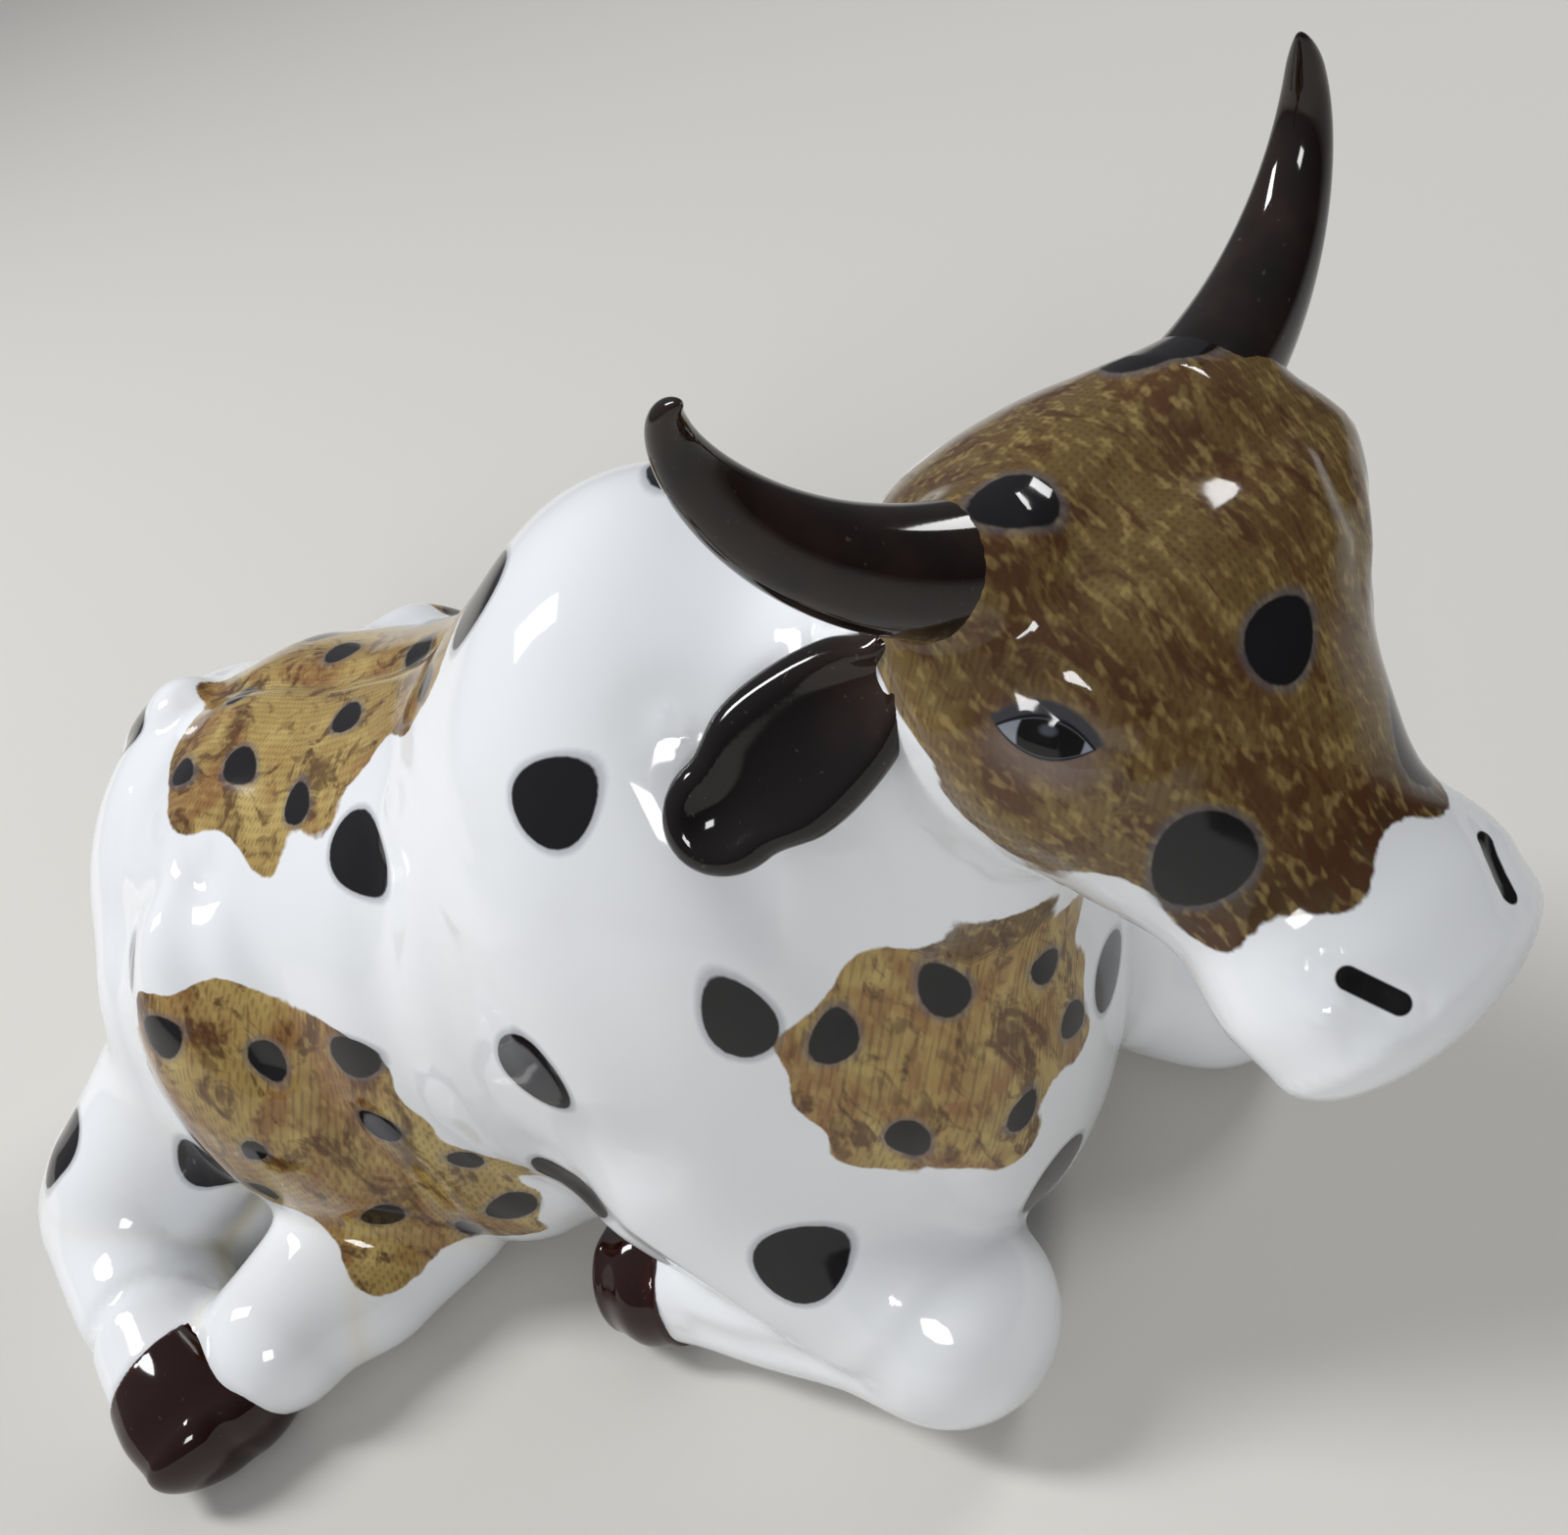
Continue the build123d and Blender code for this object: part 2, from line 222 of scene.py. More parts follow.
def skin_mesh(name, distance, low, high, voxel, fine=None):
    """Closed mesh where a distance is zero, with its points settled on the finer surface if one is given.

    Its shading follows the surface's own slope, so that highlights run smoothly over the faces.
    """
    counts = np.ceil((high - low) / voxel).astype(int) + 1
    y, z = np.meshgrid(*(low[i] + voxel * np.arange(counts[i]) for i in (1, 2)), indexing="ij")
    sheet = np.column_stack((np.zeros(y.size), y.ravel(), z.ravel()))
    cells = np.empty(counts, np.float32)
    for i in range(counts[0]):
        sheet[:, 0] = low[0] + voxel * i
        cells[i] = distance(sheet).reshape(y.shape)
    grid = openvdb.FloatGrid(FAR)
    grid.copyFromArray(cells)
    points, quads = grid.convertToQuads(0.0)
    surface = fine or distance
    step = voxel / 4
    points = settled(low + np.asarray(points, float) * voxel, surface, step, voxel)
    mesh = bpy.data.meshes.new(name)
    mesh.from_pydata(points.tolist(), [], np.asarray(quads).tolist())
    mesh.update()
    outward = unit_rows(slope_of(points, surface, step))
    normals = np.array([vertex.normal for vertex in mesh.vertices])
    if (outward * normals).sum() < 0:
        mesh.flip_normals()
    mesh.shade_smooth()
    mesh.normals_split_custom_set_from_vertices(outward.tolist())
    return mesh, points


def add_object(mesh, *materials):
    """Object for a finished mesh, at the origin."""
    piece = bpy.data.objects.new(mesh.name, mesh)
    bpy.context.scene.collection.objects.link(piece)
    for material in materials:
        mesh.materials.append(material)
    return piece


def keep_values(mesh, name, values):
    """Store a number or a place for each point of a mesh, for its material to read."""
    values = np.asarray(values, np.float32)
    if values.ndim == 1:
        mesh.attributes.new(name, "FLOAT", "POINT").data.foreach_set("value", values)
    else:
        mesh.attributes.new(name, "FLOAT_VECTOR", "POINT").data.foreach_set("vector", values.ravel())


# Sizes and colours

def length(name, description, default):
    """Property for a length, from millimetres."""
    return bpy.props.FloatProperty(name=name, description=description, default=default * MM, unit="LENGTH")


def angle(name, description, default):
    """Property for an angle, from degrees."""
    default = radians(default)
    return bpy.props.FloatProperty(name=name, description=description, default=default, subtype="ANGLE")


def number(name, description, default):
    """Property for a plain number."""
    return bpy.props.FloatProperty(name=name, description=description, default=default)


def glaze_colour(name, description, default):
    """Property for a colour, held as an sRGB hex value."""
    return bpy.props.StringProperty(name=name, description=description, default=default)


class CowBodySizes(bpy.types.PropertyGroup):
    """Sizes of the cow's body and legs."""
    body_length: length("Body length", "Length that places along the body are shares of", 116)
    body_width: length("Body width", "Width of the barrel", 58)
    withers_height: length("Withers height", "Height that places up the body are shares of", 86)
    rump_reach: length("Rump reach", "How far the rump is domed behind the last section", 15)
    brisket_reach: length("Brisket reach", "How far the brisket is domed ahead of the first section", 10)
    neck_width: length("Neck width", "Width of the neck", 30)
    knee_size: length("Knee size", "Thickness of a foreleg at the knee", 21)
    fore_hoof_length: length("Fore hoof length", "Length of a fore hoof", 9)
    hock_size: length("Hock size", "Thickness of a hind leg at the hock", 18)
    hind_hoof_length: length("Hind hoof length", "Length of a hind hoof", 13)
    haunch_length: length("Haunch length", "Length of a haunch along the body", 44)
    haunch_height: length("Haunch height", "Height of a haunch", 50)
    haunch_width: length("Haunch width", "Width of a haunch across the body", 26)
    udder_size: length("Udder size", "Thickness of the udder's lobes", 17)
    tail_root: length("Tail root", "Thickness of the tail where it starts", 9)
    tail_tip: length("Tail tip", "Thickness of the tail at its end", 6)
    hoof_step: length("Hoof step", "How far a hoof stands proud of its leg", 0.35)


class CowHeadSizes(bpy.types.PropertyGroup):
    """Sizes of the cow's head, horns and ears."""
    head_length: length("Head length", "Length of the head from poll to muzzle", 48)
    head_width: length("Head width", "Width of the forehead", 36)
    head_depth: length("Head depth", "Depth of the head from face to jaw", 28)
    crown_reach: length("Crown reach", "How far the crown is domed behind the forehead", 9)
    muzzle_reach: length("Muzzle reach", "How far the muzzle is domed at its end", 5)
    head_nod: angle("Nod", "How far the nose points down", 47)
    head_turn: angle("Turn", "How far the head turns to its left", -28)
    horn_base: length("Horn base", "Thickness of a horn at its root", 9.6)
    horn_tip: length("Horn tip", "Thickness of a horn just before its tip", 1.4)
    horn_spread: length("Horn spread", "How far a horn reaches outward", 18)
    horn_rise: length("Horn rise", "How far a horn reaches up and back", 17)
    horn_taper: number("Horn taper", "A straight cone at one, and more keeps the root thick for longer", 1.5)
    ear_length: length("Ear length", "Length of an ear", 22)
    ear_width: length("Ear width", "Width of an ear", 12)
    ear_thickness: length("Ear thickness", "Thickness of an ear", 6)
    ear_dish: length("Ear dish", "Depth of the hollow in an ear's face", 1.6)


class CowGlazes(bpy.types.PropertyGroup):
    """Colours of the cow's glazes and paints, and the grain of its skin."""
    white: glaze_colour("White", "Earthenware under clear glaze", "#E9EBEE")
    pool: glaze_colour("Pooled glaze", "Clear glaze where it pools in hollows", "#DCD3B4")
    hide: glaze_colour("Hide", "Ground of the printed hide", "#A48A52")
    hide_light: glaze_colour("Light hide", "Light hairs of the printed hide", "#BCA566")
    hide_dark: glaze_colour("Dark hide", "Dark mottling of the printed hide", "#4A2A16")
    blotch: glaze_colour("Blotch", "Dark blotches painted over hide and white", "#141214")
    horn: glaze_colour("Horn", "Brown-black glaze of the horns and ears", "#0C0605")
    horn_thin: glaze_colour("Thin horn glaze", "Horn glaze where it runs thin", "#34231B")
    hoof: glaze_colour("Hoof", "Maroon glaze of the hooves", "#220806")
    voxel: length("Skin grain", "Spacing of the skin's points", 0.9)
    fine_voxel: length("Fine grain", "Spacing of the points of an ear or a hoof", 0.45)


class CowStage(bpy.types.PropertyGroup):
    """Floor and camera."""
    floor: glaze_colour("Floor", "Colour of the floor", "#CFCDC8")
    camera_place: bpy.props.FloatVectorProperty(
        name="Camera", description="Where the camera stands", default=(0.0769, -0.0901, 0.152), unit="LENGTH")
    camera_turn: angle("Turn", "How far the view turns from +Y to the left", 35)
    camera_pitch: angle("Pitch", "How far the view looks down", 40.8)
    camera_roll: angle("Roll", "How far the camera leans", 19.3)
    camera_lens: number("Lens", "Focal length for a 36 mm wide picture, in millimetres", 38.25)


# Places on the cow

# Top of the head between the horns, in shares of the body's sizes
POLL_SHARES = (0.385, 0.015, 1.020)


class Cow:
    """Sizes, glazes, places and directions that the pieces share."""

    def __init__(self, scene):
        self.body = body = scene.cow_body
        self.head = head = scene.cow_head
        self.glazes = scene.cow_glazes
        coarser = 1
        self.voxel = self.glazes.voxel * coarser
        self.fine_voxel = self.glazes.fine_voxel * coarser
        self.stand_sizes = np.array((body.body_length, body.body_width, body.withers_height))
        self.head_sizes = np.array((head.head_length, head.head_width, head.head_depth))
        self.poll = self.stand(*POLL_SHARES)
        self.face = turned(turned(FORWARD, "Y", head.head_nod), "Z", head.head_turn)
        self.crown = turned(turned(UPWARD, "Y", head.head_nod), "Z", head.head_turn)
        self.head_side = np.cross(self.crown, self.face)
        self.head_axes = np.array((self.face, self.head_side, self.crown))

    def stand(self, x, y, z):
        """Point in shares of the body's length, width and height."""
        return self.stand_sizes * (x, y, z)

    def on_head(self, x, y, z):
        """Point in shares of the head's length, width and depth, from the poll."""
        return self.poll + (self.head_sizes * (x, y, z)) @ self.head_axes


# Each row: place along the body, width, top and foot, in shares of the body's sizes
TORSO_SHARES = (
    (-0.500, 0.84, 0.665, 0.015),
    (-0.400, 0.97, 0.710, -0.045),
    (-0.270, 1.00, 0.740, -0.050),
    (-0.150, 1.00, 0.810, -0.050),
    (-0.085, 0.96, 0.890, -0.050),
    (-0.010, 0.98, 0.970, -0.050),
    (0.060, 0.99, 0.985, -0.030),
    (0.130, 0.96, 0.935, 0.010),
    (0.200, 0.88, 0.825, 0.050),
    (0.260, 0.76, 0.700, 0.090),
)

# Each row: place of the middle, then width and depth, in shares of the head's sizes
SKULL_SHARES = (
    (0.030, 0, -0.33, 0.90, 0.88),
    (0.190, 0, -0.31, 1.00, 1.00),
    (0.340, 0, -0.32, 0.95, 0.97),
    (0.500, 0, -0.31, 0.77, 0.84),
    (0.660, 0, -0.28, 0.64, 0.68),
    (0.780, 0, -0.24, 0.72, 0.64),
    (0.880, 0, -0.22, 0.70, 0.60),
)

# Swelling of the left brow: its middle and its reaches, in shares of the head's sizes
BROW_SHARES = (0.17, 0.30, -0.22)
BROW_REACH_SHARES = np.array((0.24, 0.30, 0.32))
# Collar of clay round the root of a horn: its length and its radius at each end, in shares of the horn's base
COLLAR_LENGTH_SHARE = 0.5
COLLAR_RADIUS_SHARES = np.array((0.58, 0.40))

# Each row: place in shares of the body's length, width and height, then width and depth of the neck
NECK_SHARES = ((0.110, 0, 0.600, 1.25, 1.25), (0.220, 0, 0.720, 1.10, 1.15), (0.340, 0, 0.860, 0.93, 0.95))

# Each row of a leg: place in shares of the body's length, width and height, then width and depth
FOREARM_SHARES = (
    (0.045, -0.330, 0.310, 1.15, 1.35),
    (0.125, -0.360, 0.222, 1.08, 1.15),
    (0.190, -0.385, 0.160, 1.00, 1.00),
)
FORE_CANNON_SHARES = (
    (0.235, -0.400, 0.120, 1.00, 1.00),
    (0.155, -0.400, 0.104, 0.84, 0.85),
    (0.075, -0.410, 0.092, 0.74, 0.74),
    (-0.005, -0.415, 0.084, 0.66, 0.68),
)
FORE_HOOF_SHARES = (
    (-0.035, -0.420, 0.080, 0.70, 0.72),
    (-0.065, -0.420, 0.074, 0.62, 0.66),
)
# How far each foreleg lies ahead and to the cow's right
FORELEG_PLACE_SHARES = {"right": (0.0, 0.0), "left": (0.13, 0.04)}

# A haunch's height, width and depth are in shares of its own sizes
HAUNCH_SHARES = (
    (-0.490, -0.33, 0.516, 0.80, 0.74),
    (-0.385, -0.36, 0.568, 1.00, 1.00),
    (-0.280, -0.36, 0.499, 0.92, 0.88),
    (-0.195, -0.34, 0.361, 0.66, 0.58),
)
SHANK_SHARES = {
    "right": ((-0.530, -0.40, 0.220, 1.20, 1.25), (-0.575, -0.55, 0.150, 1.05, 1.15)),
    "left": ((-0.500, -0.42, 0.200, 1.10, 1.20), (-0.520, -0.50, 0.130, 0.95, 1.05)),
}
HIND_CANNON_SHARES = {
    "right": (
        (-0.605, -0.610, 0.108, 0.90, 0.96),
        (-0.555, -0.690, 0.098, 0.84, 0.88),
        (-0.502, -0.765, 0.089, 0.80, 0.82),
        (-0.450, -0.835, 0.080, 0.80, 0.76),
    ),
    "left": (
        (-0.520, -0.530, 0.105, 0.95, 0.98),
        (-0.445, -0.545, 0.096, 0.82, 0.86),
        (-0.368, -0.552, 0.088, 0.74, 0.78),
        (-0.290, -0.555, 0.080, 0.72, 0.72),
    ),
}
HIND_HOOF_SHARES = {
    "right": ((-0.412, -0.872, 0.072, 0.88, 0.72), (-0.375, -0.900, 0.062, 0.90, 0.60)),
    "left": ((-0.262, -0.555, 0.074, 0.76, 0.70), (-0.215, -0.555, 0.062, 0.82, 0.60)),
}
# Corners of the low web of clay between the body, the thrown-out leg and the udder
WEB_SHARES = ((-0.50, -0.42, 0.02), (-0.54, -0.62, 0.02), (-0.46, -0.72, 0.02), (-0.38, -0.62, 0.02))
WEB_RADIUS = 4 * MM

# Two lobes, with rows as for a leg
UDDER_LOBE_SHARES = (
    ((-0.325, -0.46, 0.105, 0.96, 1.00), (-0.360, -0.72, 0.092, 0.94, 0.92)),
    ((-0.270, -0.42, 0.090, 0.80, 0.90), (-0.300, -0.57, 0.080, 0.74, 0.80)),
)
# The tail's corners from root to tip, in shares of the body's sizes, and how many points it is drawn with
TAIL_STEPS = 24
TAIL_SHARES = (
    (-0.500, 0.02, 0.640),
    (-0.590, 0.02, 0.540),
    (-0.640, 0.03, 0.380),
    (-0.640, 0.07, 0.210),
    (-0.610, 0.17, 0.100),
    (-0.560, 0.31, 0.055),
)


def row_form(place, rows, scales, start_reach, end_reach, run=None, side=LEFTWARD, flip=1, swell=0):
    """Form from the rows of a table, on the right side or flipped to the left."""
    centres = [place(x, y * flip, z) for x, y, z, wide, deep in rows]
    sizes = np.array([row[3:] for row in rows]) * scales + swell
    if run is None:
        run = unit(centres[-1] - centres[0])
    return straight_form(centres, sizes, side, start_reach, end_reach, run)


def cannon_form(cow, cannon, hoof, size, end_reach, flip):
    """Form of a cannon, which runs toward the toe of its hoof."""
    run = unit(cow.stand(*hoof[-1][:3]) - cow.stand(*cannon[0][:3])) * (1, flip, 1)
    return row_form(cow.stand, cannon, size, size / 2, end_reach, run, flip=flip)


def ahead(rows, lead, aside):
    """The same stretch, moved along and across the body."""
    return tuple((x + lead, y + aside, z, wide, deep) for x, y, z, wide, deep in rows)


def cannon_and_hoof_rows(end, side):
    """Sections of a leg's cannon and of its hoof."""
    if end == "hind":
        return HIND_CANNON_SHARES[side], HIND_HOOF_SHARES[side]
    place = FORELEG_PLACE_SHARES[side]
    return ahead(FORE_CANNON_SHARES, *place), ahead(FORE_HOOF_SHARES, *place)


def body_forms(cow):
    """Every form of the body, with the width of the fillet that joins it to those before."""
    body, head = cow.body, cow.head
    rows = [(x, 0, (top + foot) / 2, wide, top - foot) for x, wide, top, foot in TORSO_SHARES]
    scales = (body.body_width, body.withers_height)
    yield row_form(cow.stand, rows, scales, body.rump_reach, body.brisket_reach, FORWARD), 0
    neck = body.neck_width
    yield row_form(cow.stand, NECK_SHARES, neck, neck / 2, neck / 4), 16 * MM
    scales = (head.head_width, head.head_depth)
    reaches = (head.crown_reach, head.muzzle_reach)
    yield row_form(cow.on_head, SKULL_SHARES, scales, *reaches, cow.face, cow.head_side), 6 * MM
    for flip in (1, -1):
        root, bend = bezier_points(horn_corners(cow, flip), 8)[:2]
        collar = [root, root + unit(bend - root) * head.horn_base * COLLAR_LENGTH_SHARE]
        yield bent_form(collar, head.horn_base * COLLAR_RADIUS_SHARES), 4 * MM
    yield lump(cow.on_head(*BROW_SHARES), cow.head_sizes * BROW_REACH_SHARES, cow.head_axes), 5 * MM

    def on_haunch(x, y, z):
        return cow.stand(x, y, 0) + UPWARD * body.haunch_height * z

    haunch_scales = (body.haunch_width, body.haunch_height)
    haunch_reaches = (body.haunch_length / 5, body.haunch_length / 4)
    hock, knee = body.hock_size, body.knee_size
    for side, flip in (("right", 1), ("left", -1)):
        yield row_form(on_haunch, HAUNCH_SHARES, haunch_scales, *haunch_reaches, FORWARD, flip=flip), 5 * MM
        yield row_form(cow.stand, SHANK_SHARES[side], hock, hock / 2, hock / 2, flip=flip), 8 * MM
        yield cannon_form(cow, *cannon_and_hoof_rows("hind", side), hock, hock / 8, flip), 4 * MM
        rows = ahead(FOREARM_SHARES, *FORELEG_PLACE_SHARES[side])
        yield row_form(cow.stand, rows, knee, knee / 2, knee / 3, flip=flip), 8 * MM
        yield cannon_form(cow, *cannon_and_hoof_rows("fore", side), knee, knee / 10, flip), 3 * MM

    for rows in UDDER_LOBE_SHARES:
        yield row_form(cow.stand, rows, body.udder_size, body.udder_size / 3, body.udder_size / 2), 5 * MM
    web = [cow.stand(*shares) for shares in WEB_SHARES]
    yield bent_form(web, [WEB_RADIUS] * len(web)), 8 * MM
    path = path_points([cow.stand(*shares) for shares in TAIL_SHARES], TAIL_STEPS)
    yield bent_form(path, np.linspace(body.tail_root, body.tail_tip, TAIL_STEPS) / 2), 2 * MM


def cut_flat(distance, points, rounding):
    """Cut a form off where it rests, with a softly rounded edge."""
    return -blended(-distance, points[:, 2], rounding)


# Rounding of the edge round the flat face that the body rests on
FOOT_ROUNDING = 1.2 * MM


def body_surface(cow):
    """The joined forms of the body, and how far the fillets fill the hollows between them."""
    forms = list(body_forms(cow))

    def joined(points):
        near = plain = forms[0][0](points)
        for form, fillet in forms[1:]:
            other = form(points)
            near = blended(near, other, fillet)
            plain = np.minimum(plain, other)
        return near, plain

    def distance(points):
        return cut_flat(joined(points)[0], points, FOOT_ROUNDING)

    def filled(points):
        near, plain = joined(points)
        return plain - near

    return distance, filled


# Grooves and swellings on the body: the line that each follows, in shares of the body's sizes, then its
# half width and its depth in millimetres, minus for a swelling
BODY_RELIEF = {
    "spine": (((-0.07, 0.00, 0.90), (-0.20, 0.01, 0.78), (-0.34, 0.02, 0.73), (-0.47, 0.02, 0.69)), 1.7, 1.0),
    "right elbow": (((-0.05, -0.47, 0.36), (0.05, -0.50, 0.24), (0.13, -0.50, 0.14)), 3.0, 0.8),
    "left elbow": (((0.08, 0.47, 0.36), (0.18, 0.46, 0.24), (0.26, 0.44, 0.14)), 3.0, 0.8),
    "cannon": (((0.20, -0.60, 0.14), (0.10, -0.58, 0.12), (0.01, -0.55, 0.11)), 1.6, 0.7),
    "fetlock": (((-0.532, -0.867, 0.09), (-0.496, -0.767, 0.172), (-0.459, -0.667, 0.09)), 1.3, 0.7),
    "hock": (((-0.60, -0.42, 0.26), (-0.64, -0.56, 0.20), (-0.66, -0.66, 0.12)), 1.8, -0.6),
}
# The same for those that both sides of the body have
BODY_SIDE_RELIEF = {
    "shoulder": (
        ((-0.14, 0.30, 0.78), (-0.16, 0.46, 0.55), (-0.14, 0.50, 0.34), (-0.07, 0.48, 0.17)), 4.0, 1.2),
    "blade": (((-0.02, 0.38, 0.80), (0.02, 0.47, 0.60), (0.06, 0.46, 0.42)), 6.0, -0.9),
    "neck": (((0.15, 0.30, 0.92), (0.20, 0.36, 0.72), (0.24, 0.34, 0.55)), 3.0, 1.0),
    "flank": (((-0.37, 0.30, 0.68), (-0.34, 0.46, 0.56), (-0.28, 0.50, 0.42)), 2.6, 1.1),
    "hip": (((-0.44, 0.26, 0.66), (-0.47, 0.40, 0.52)), 5.0, -0.9),
}
# The same for those that both sides of the head have, in shares of the head's sizes
HEAD_RELIEF = {
    "temple": (((0.02, 0.46, -0.10), (0.16, 0.49, -0.12), (0.30, 0.44, -0.14)), 5.5, -1.5),
    "brow": (((0.12, 0.34, 0.02), (0.23, 0.28, 0.04), (0.35, 0.27, 0.02)), 2.4, -0.7),
    "lid": (((0.15, 0.38, -0.02), (0.24, 0.33, 0.00), (0.34, 0.32, 0.00)), 1.3, 0.35),
    "eyeball": (((0.23, 0.38, -0.03), (0.28, 0.36, -0.03)), 2.2, -0.6),
    "tear": (((0.22, 0.44, -0.12), (0.32, 0.41, -0.10), (0.40, 0.36, -0.06)), 1.6, 0.35),
    "cheek": (((0.46, 0.40, -0.50), (0.32, 0.47, -0.55)), 5.0, -0.7),
    "jaw": (((0.16, 0.46, -0.56), (0.30, 0.36, -0.78), (0.48, 0.20, -0.74)), 2.2, 0.5),
    "upper throat": (((0.04, 0.50, -0.52), (0.10, 0.52, -0.72), (0.20, 0.44, -0.92)), 1.6, 0.5),
    "lower throat": (((-0.02, 0.48, -0.60), (0.02, 0.50, -0.86), (0.10, 0.40, -1.10)), 2.0, 0.5),
    "nostril": (((0.76, 0.225, 0.00), (0.86, 0.155, 0.03)), 1.3, 0.6),
    "nostril rim": (((0.74, 0.28, -0.06), (0.86, 0.24, -0.06)), 2.2, -0.4),
}


def relief_surface(cow, distance):
    """The joined forms with every groove and swelling worked in."""
    # Each table, with what turns its shares to places, the sides that have its lines and their point count
    tables = (
        (BODY_RELIEF, cow.stand, (1,), 10),
        (BODY_SIDE_RELIEF, cow.stand, (-1, 1), 10),
        (HEAD_RELIEF, cow.on_head, (1, -1), 7),
    )
    lines = []
    for table, place, flips, count in tables:
        for line, half_width, depth in table.values():
            for flip in flips:
                path = path_points([place(x, y * flip, z) for x, y, z in line], count)
                lines.append((settled(path, distance, SLOPE_STEP, 4 * MM), half_width * MM, depth * MM))

    def worked(points):
        value = distance(points)
        for path, half_width, depth in lines:
            # Past this reach the line's depth is too slight to see
            reach = 2.6 * half_width
            near = within(points, path.min(axis=0) - reach, path.max(axis=0) + reach)
            local = points[near]
            away = line_distance(local, path) / half_width
            # Fades to a quarter at each end of the line
            start, end = (np.linalg.norm(local - path[i], axis=1) / half_width for i in (0, -1))
            fade = np.clip(np.minimum(start, end) / 1.5, 0.25, 1)
            value[near] += depth * fade * np.exp(-away * away)
        return value

    return worked


# Painted hide: the middle and the reaches of each lump in which the skin is painted, in shares of the sizes
BODY_PATCHES = (
    ((-0.33, 0.00, 0.78), (0.17, 0.44, 0.17)),
    ((-0.15, 0.10, 0.86), (0.09, 0.36, 0.13)),
    ((0.29, -0.30, 0.52), (0.12, 0.26, 0.15)),
    ((-0.30, -0.56, 0.40), (0.15, 0.18, 0.19)),
    ((-0.20, -0.54, 0.24), (0.14, 0.14, 0.13)),
    ((-0.63, 0.06, 0.42), (0.10, 0.26, 0.18)),
    ((0.10, 0.52, 0.62), (0.15, 0.20, 0.17)),
    ((-0.36, 0.60, 0.46), (0.15, 0.20, 0.17)),
)
HEAD_PATCHES = (
    ((0.26, 0.0, -0.04), (0.38, 0.66, 0.44)),
    ((0.48, 0.0, 0.00), (0.22, 0.46, 0.34)),
    ((0.02, 0.0, -0.10), (0.24, 0.60, 0.42)),
)
# Waves of a patch's edge: how many radians each runs per metre along each axis, and how far it swings
EDGE_WAVES = ((620, 280, 210), (-250, 560, 350), (240, -400, 880))
EDGE_WAVE_HEIGHT = 0.7 * MM
PATCH_FILLET = 3 * MM

# The middle of each eye, left 1 and right -1, the way along it, and the way it faces, in the head's own axes
EYE_SHARES = {1: (0.25, 0.44, -0.17), -1: (0.25, -0.37, -0.03)}
EYE_RUN_SHARES = np.array((0.79, -0.46, 0.40))
EYE_OUT_SHARES = np.array((0.0, 0.75, 0.66))
# The same for a nostril
NOSTRIL_SHARES = {1: (0.81, 0.188, 0.015), -1: (0.81, -0.188, 0.015)}
NOSTRIL_RUN_SHARES = np.array((0.88, -0.47, 0.0))
NOSTRIL_OUT_SHARES = np.array((0.0, 0.35, 0.94))


def on_head(cow, points):
    """Which points lie on the head, within shares of its sizes about the poll."""
    x, y, z = ((points - cow.poll) @ cow.head_axes.T / cow.head_sizes).T
    return (x > -0.3) & (np.abs(y) < 0.8) & (z > -0.86)


def patch_distance(cow, points):
    """How far points lie outside the painted hide, with a wavy edge."""
    forms = []
    for centre, reaches in BODY_PATCHES:
        forms.append(lump(cow.stand(*centre), cow.stand_sizes * reaches))
    for centre, reaches in HEAD_PATCHES:
        forms.append(lump(cow.on_head(*centre), cow.head_sizes * reaches, cow.head_axes))
    near = forms[0](points)
    for form in forms[1:]:
        near = blended(near, form(points), PATCH_FILLET)
    return near + np.sin(points @ np.transpose(EDGE_WAVES)).sum(axis=1) * EDGE_WAVE_HEIGHT


def scattered(candidates, spacing, count, draws):
    """Places drawn from candidates, none nearer to another than the spacing."""
    chosen = []
    for place in draws.permutation(len(candidates)):
        point = candidates[place]
        if all(np.linalg.norm(point - candidates[other]) > spacing for other in chosen):
            chosen.append(place)
        if len(chosen) == count:
            break
    return chosen


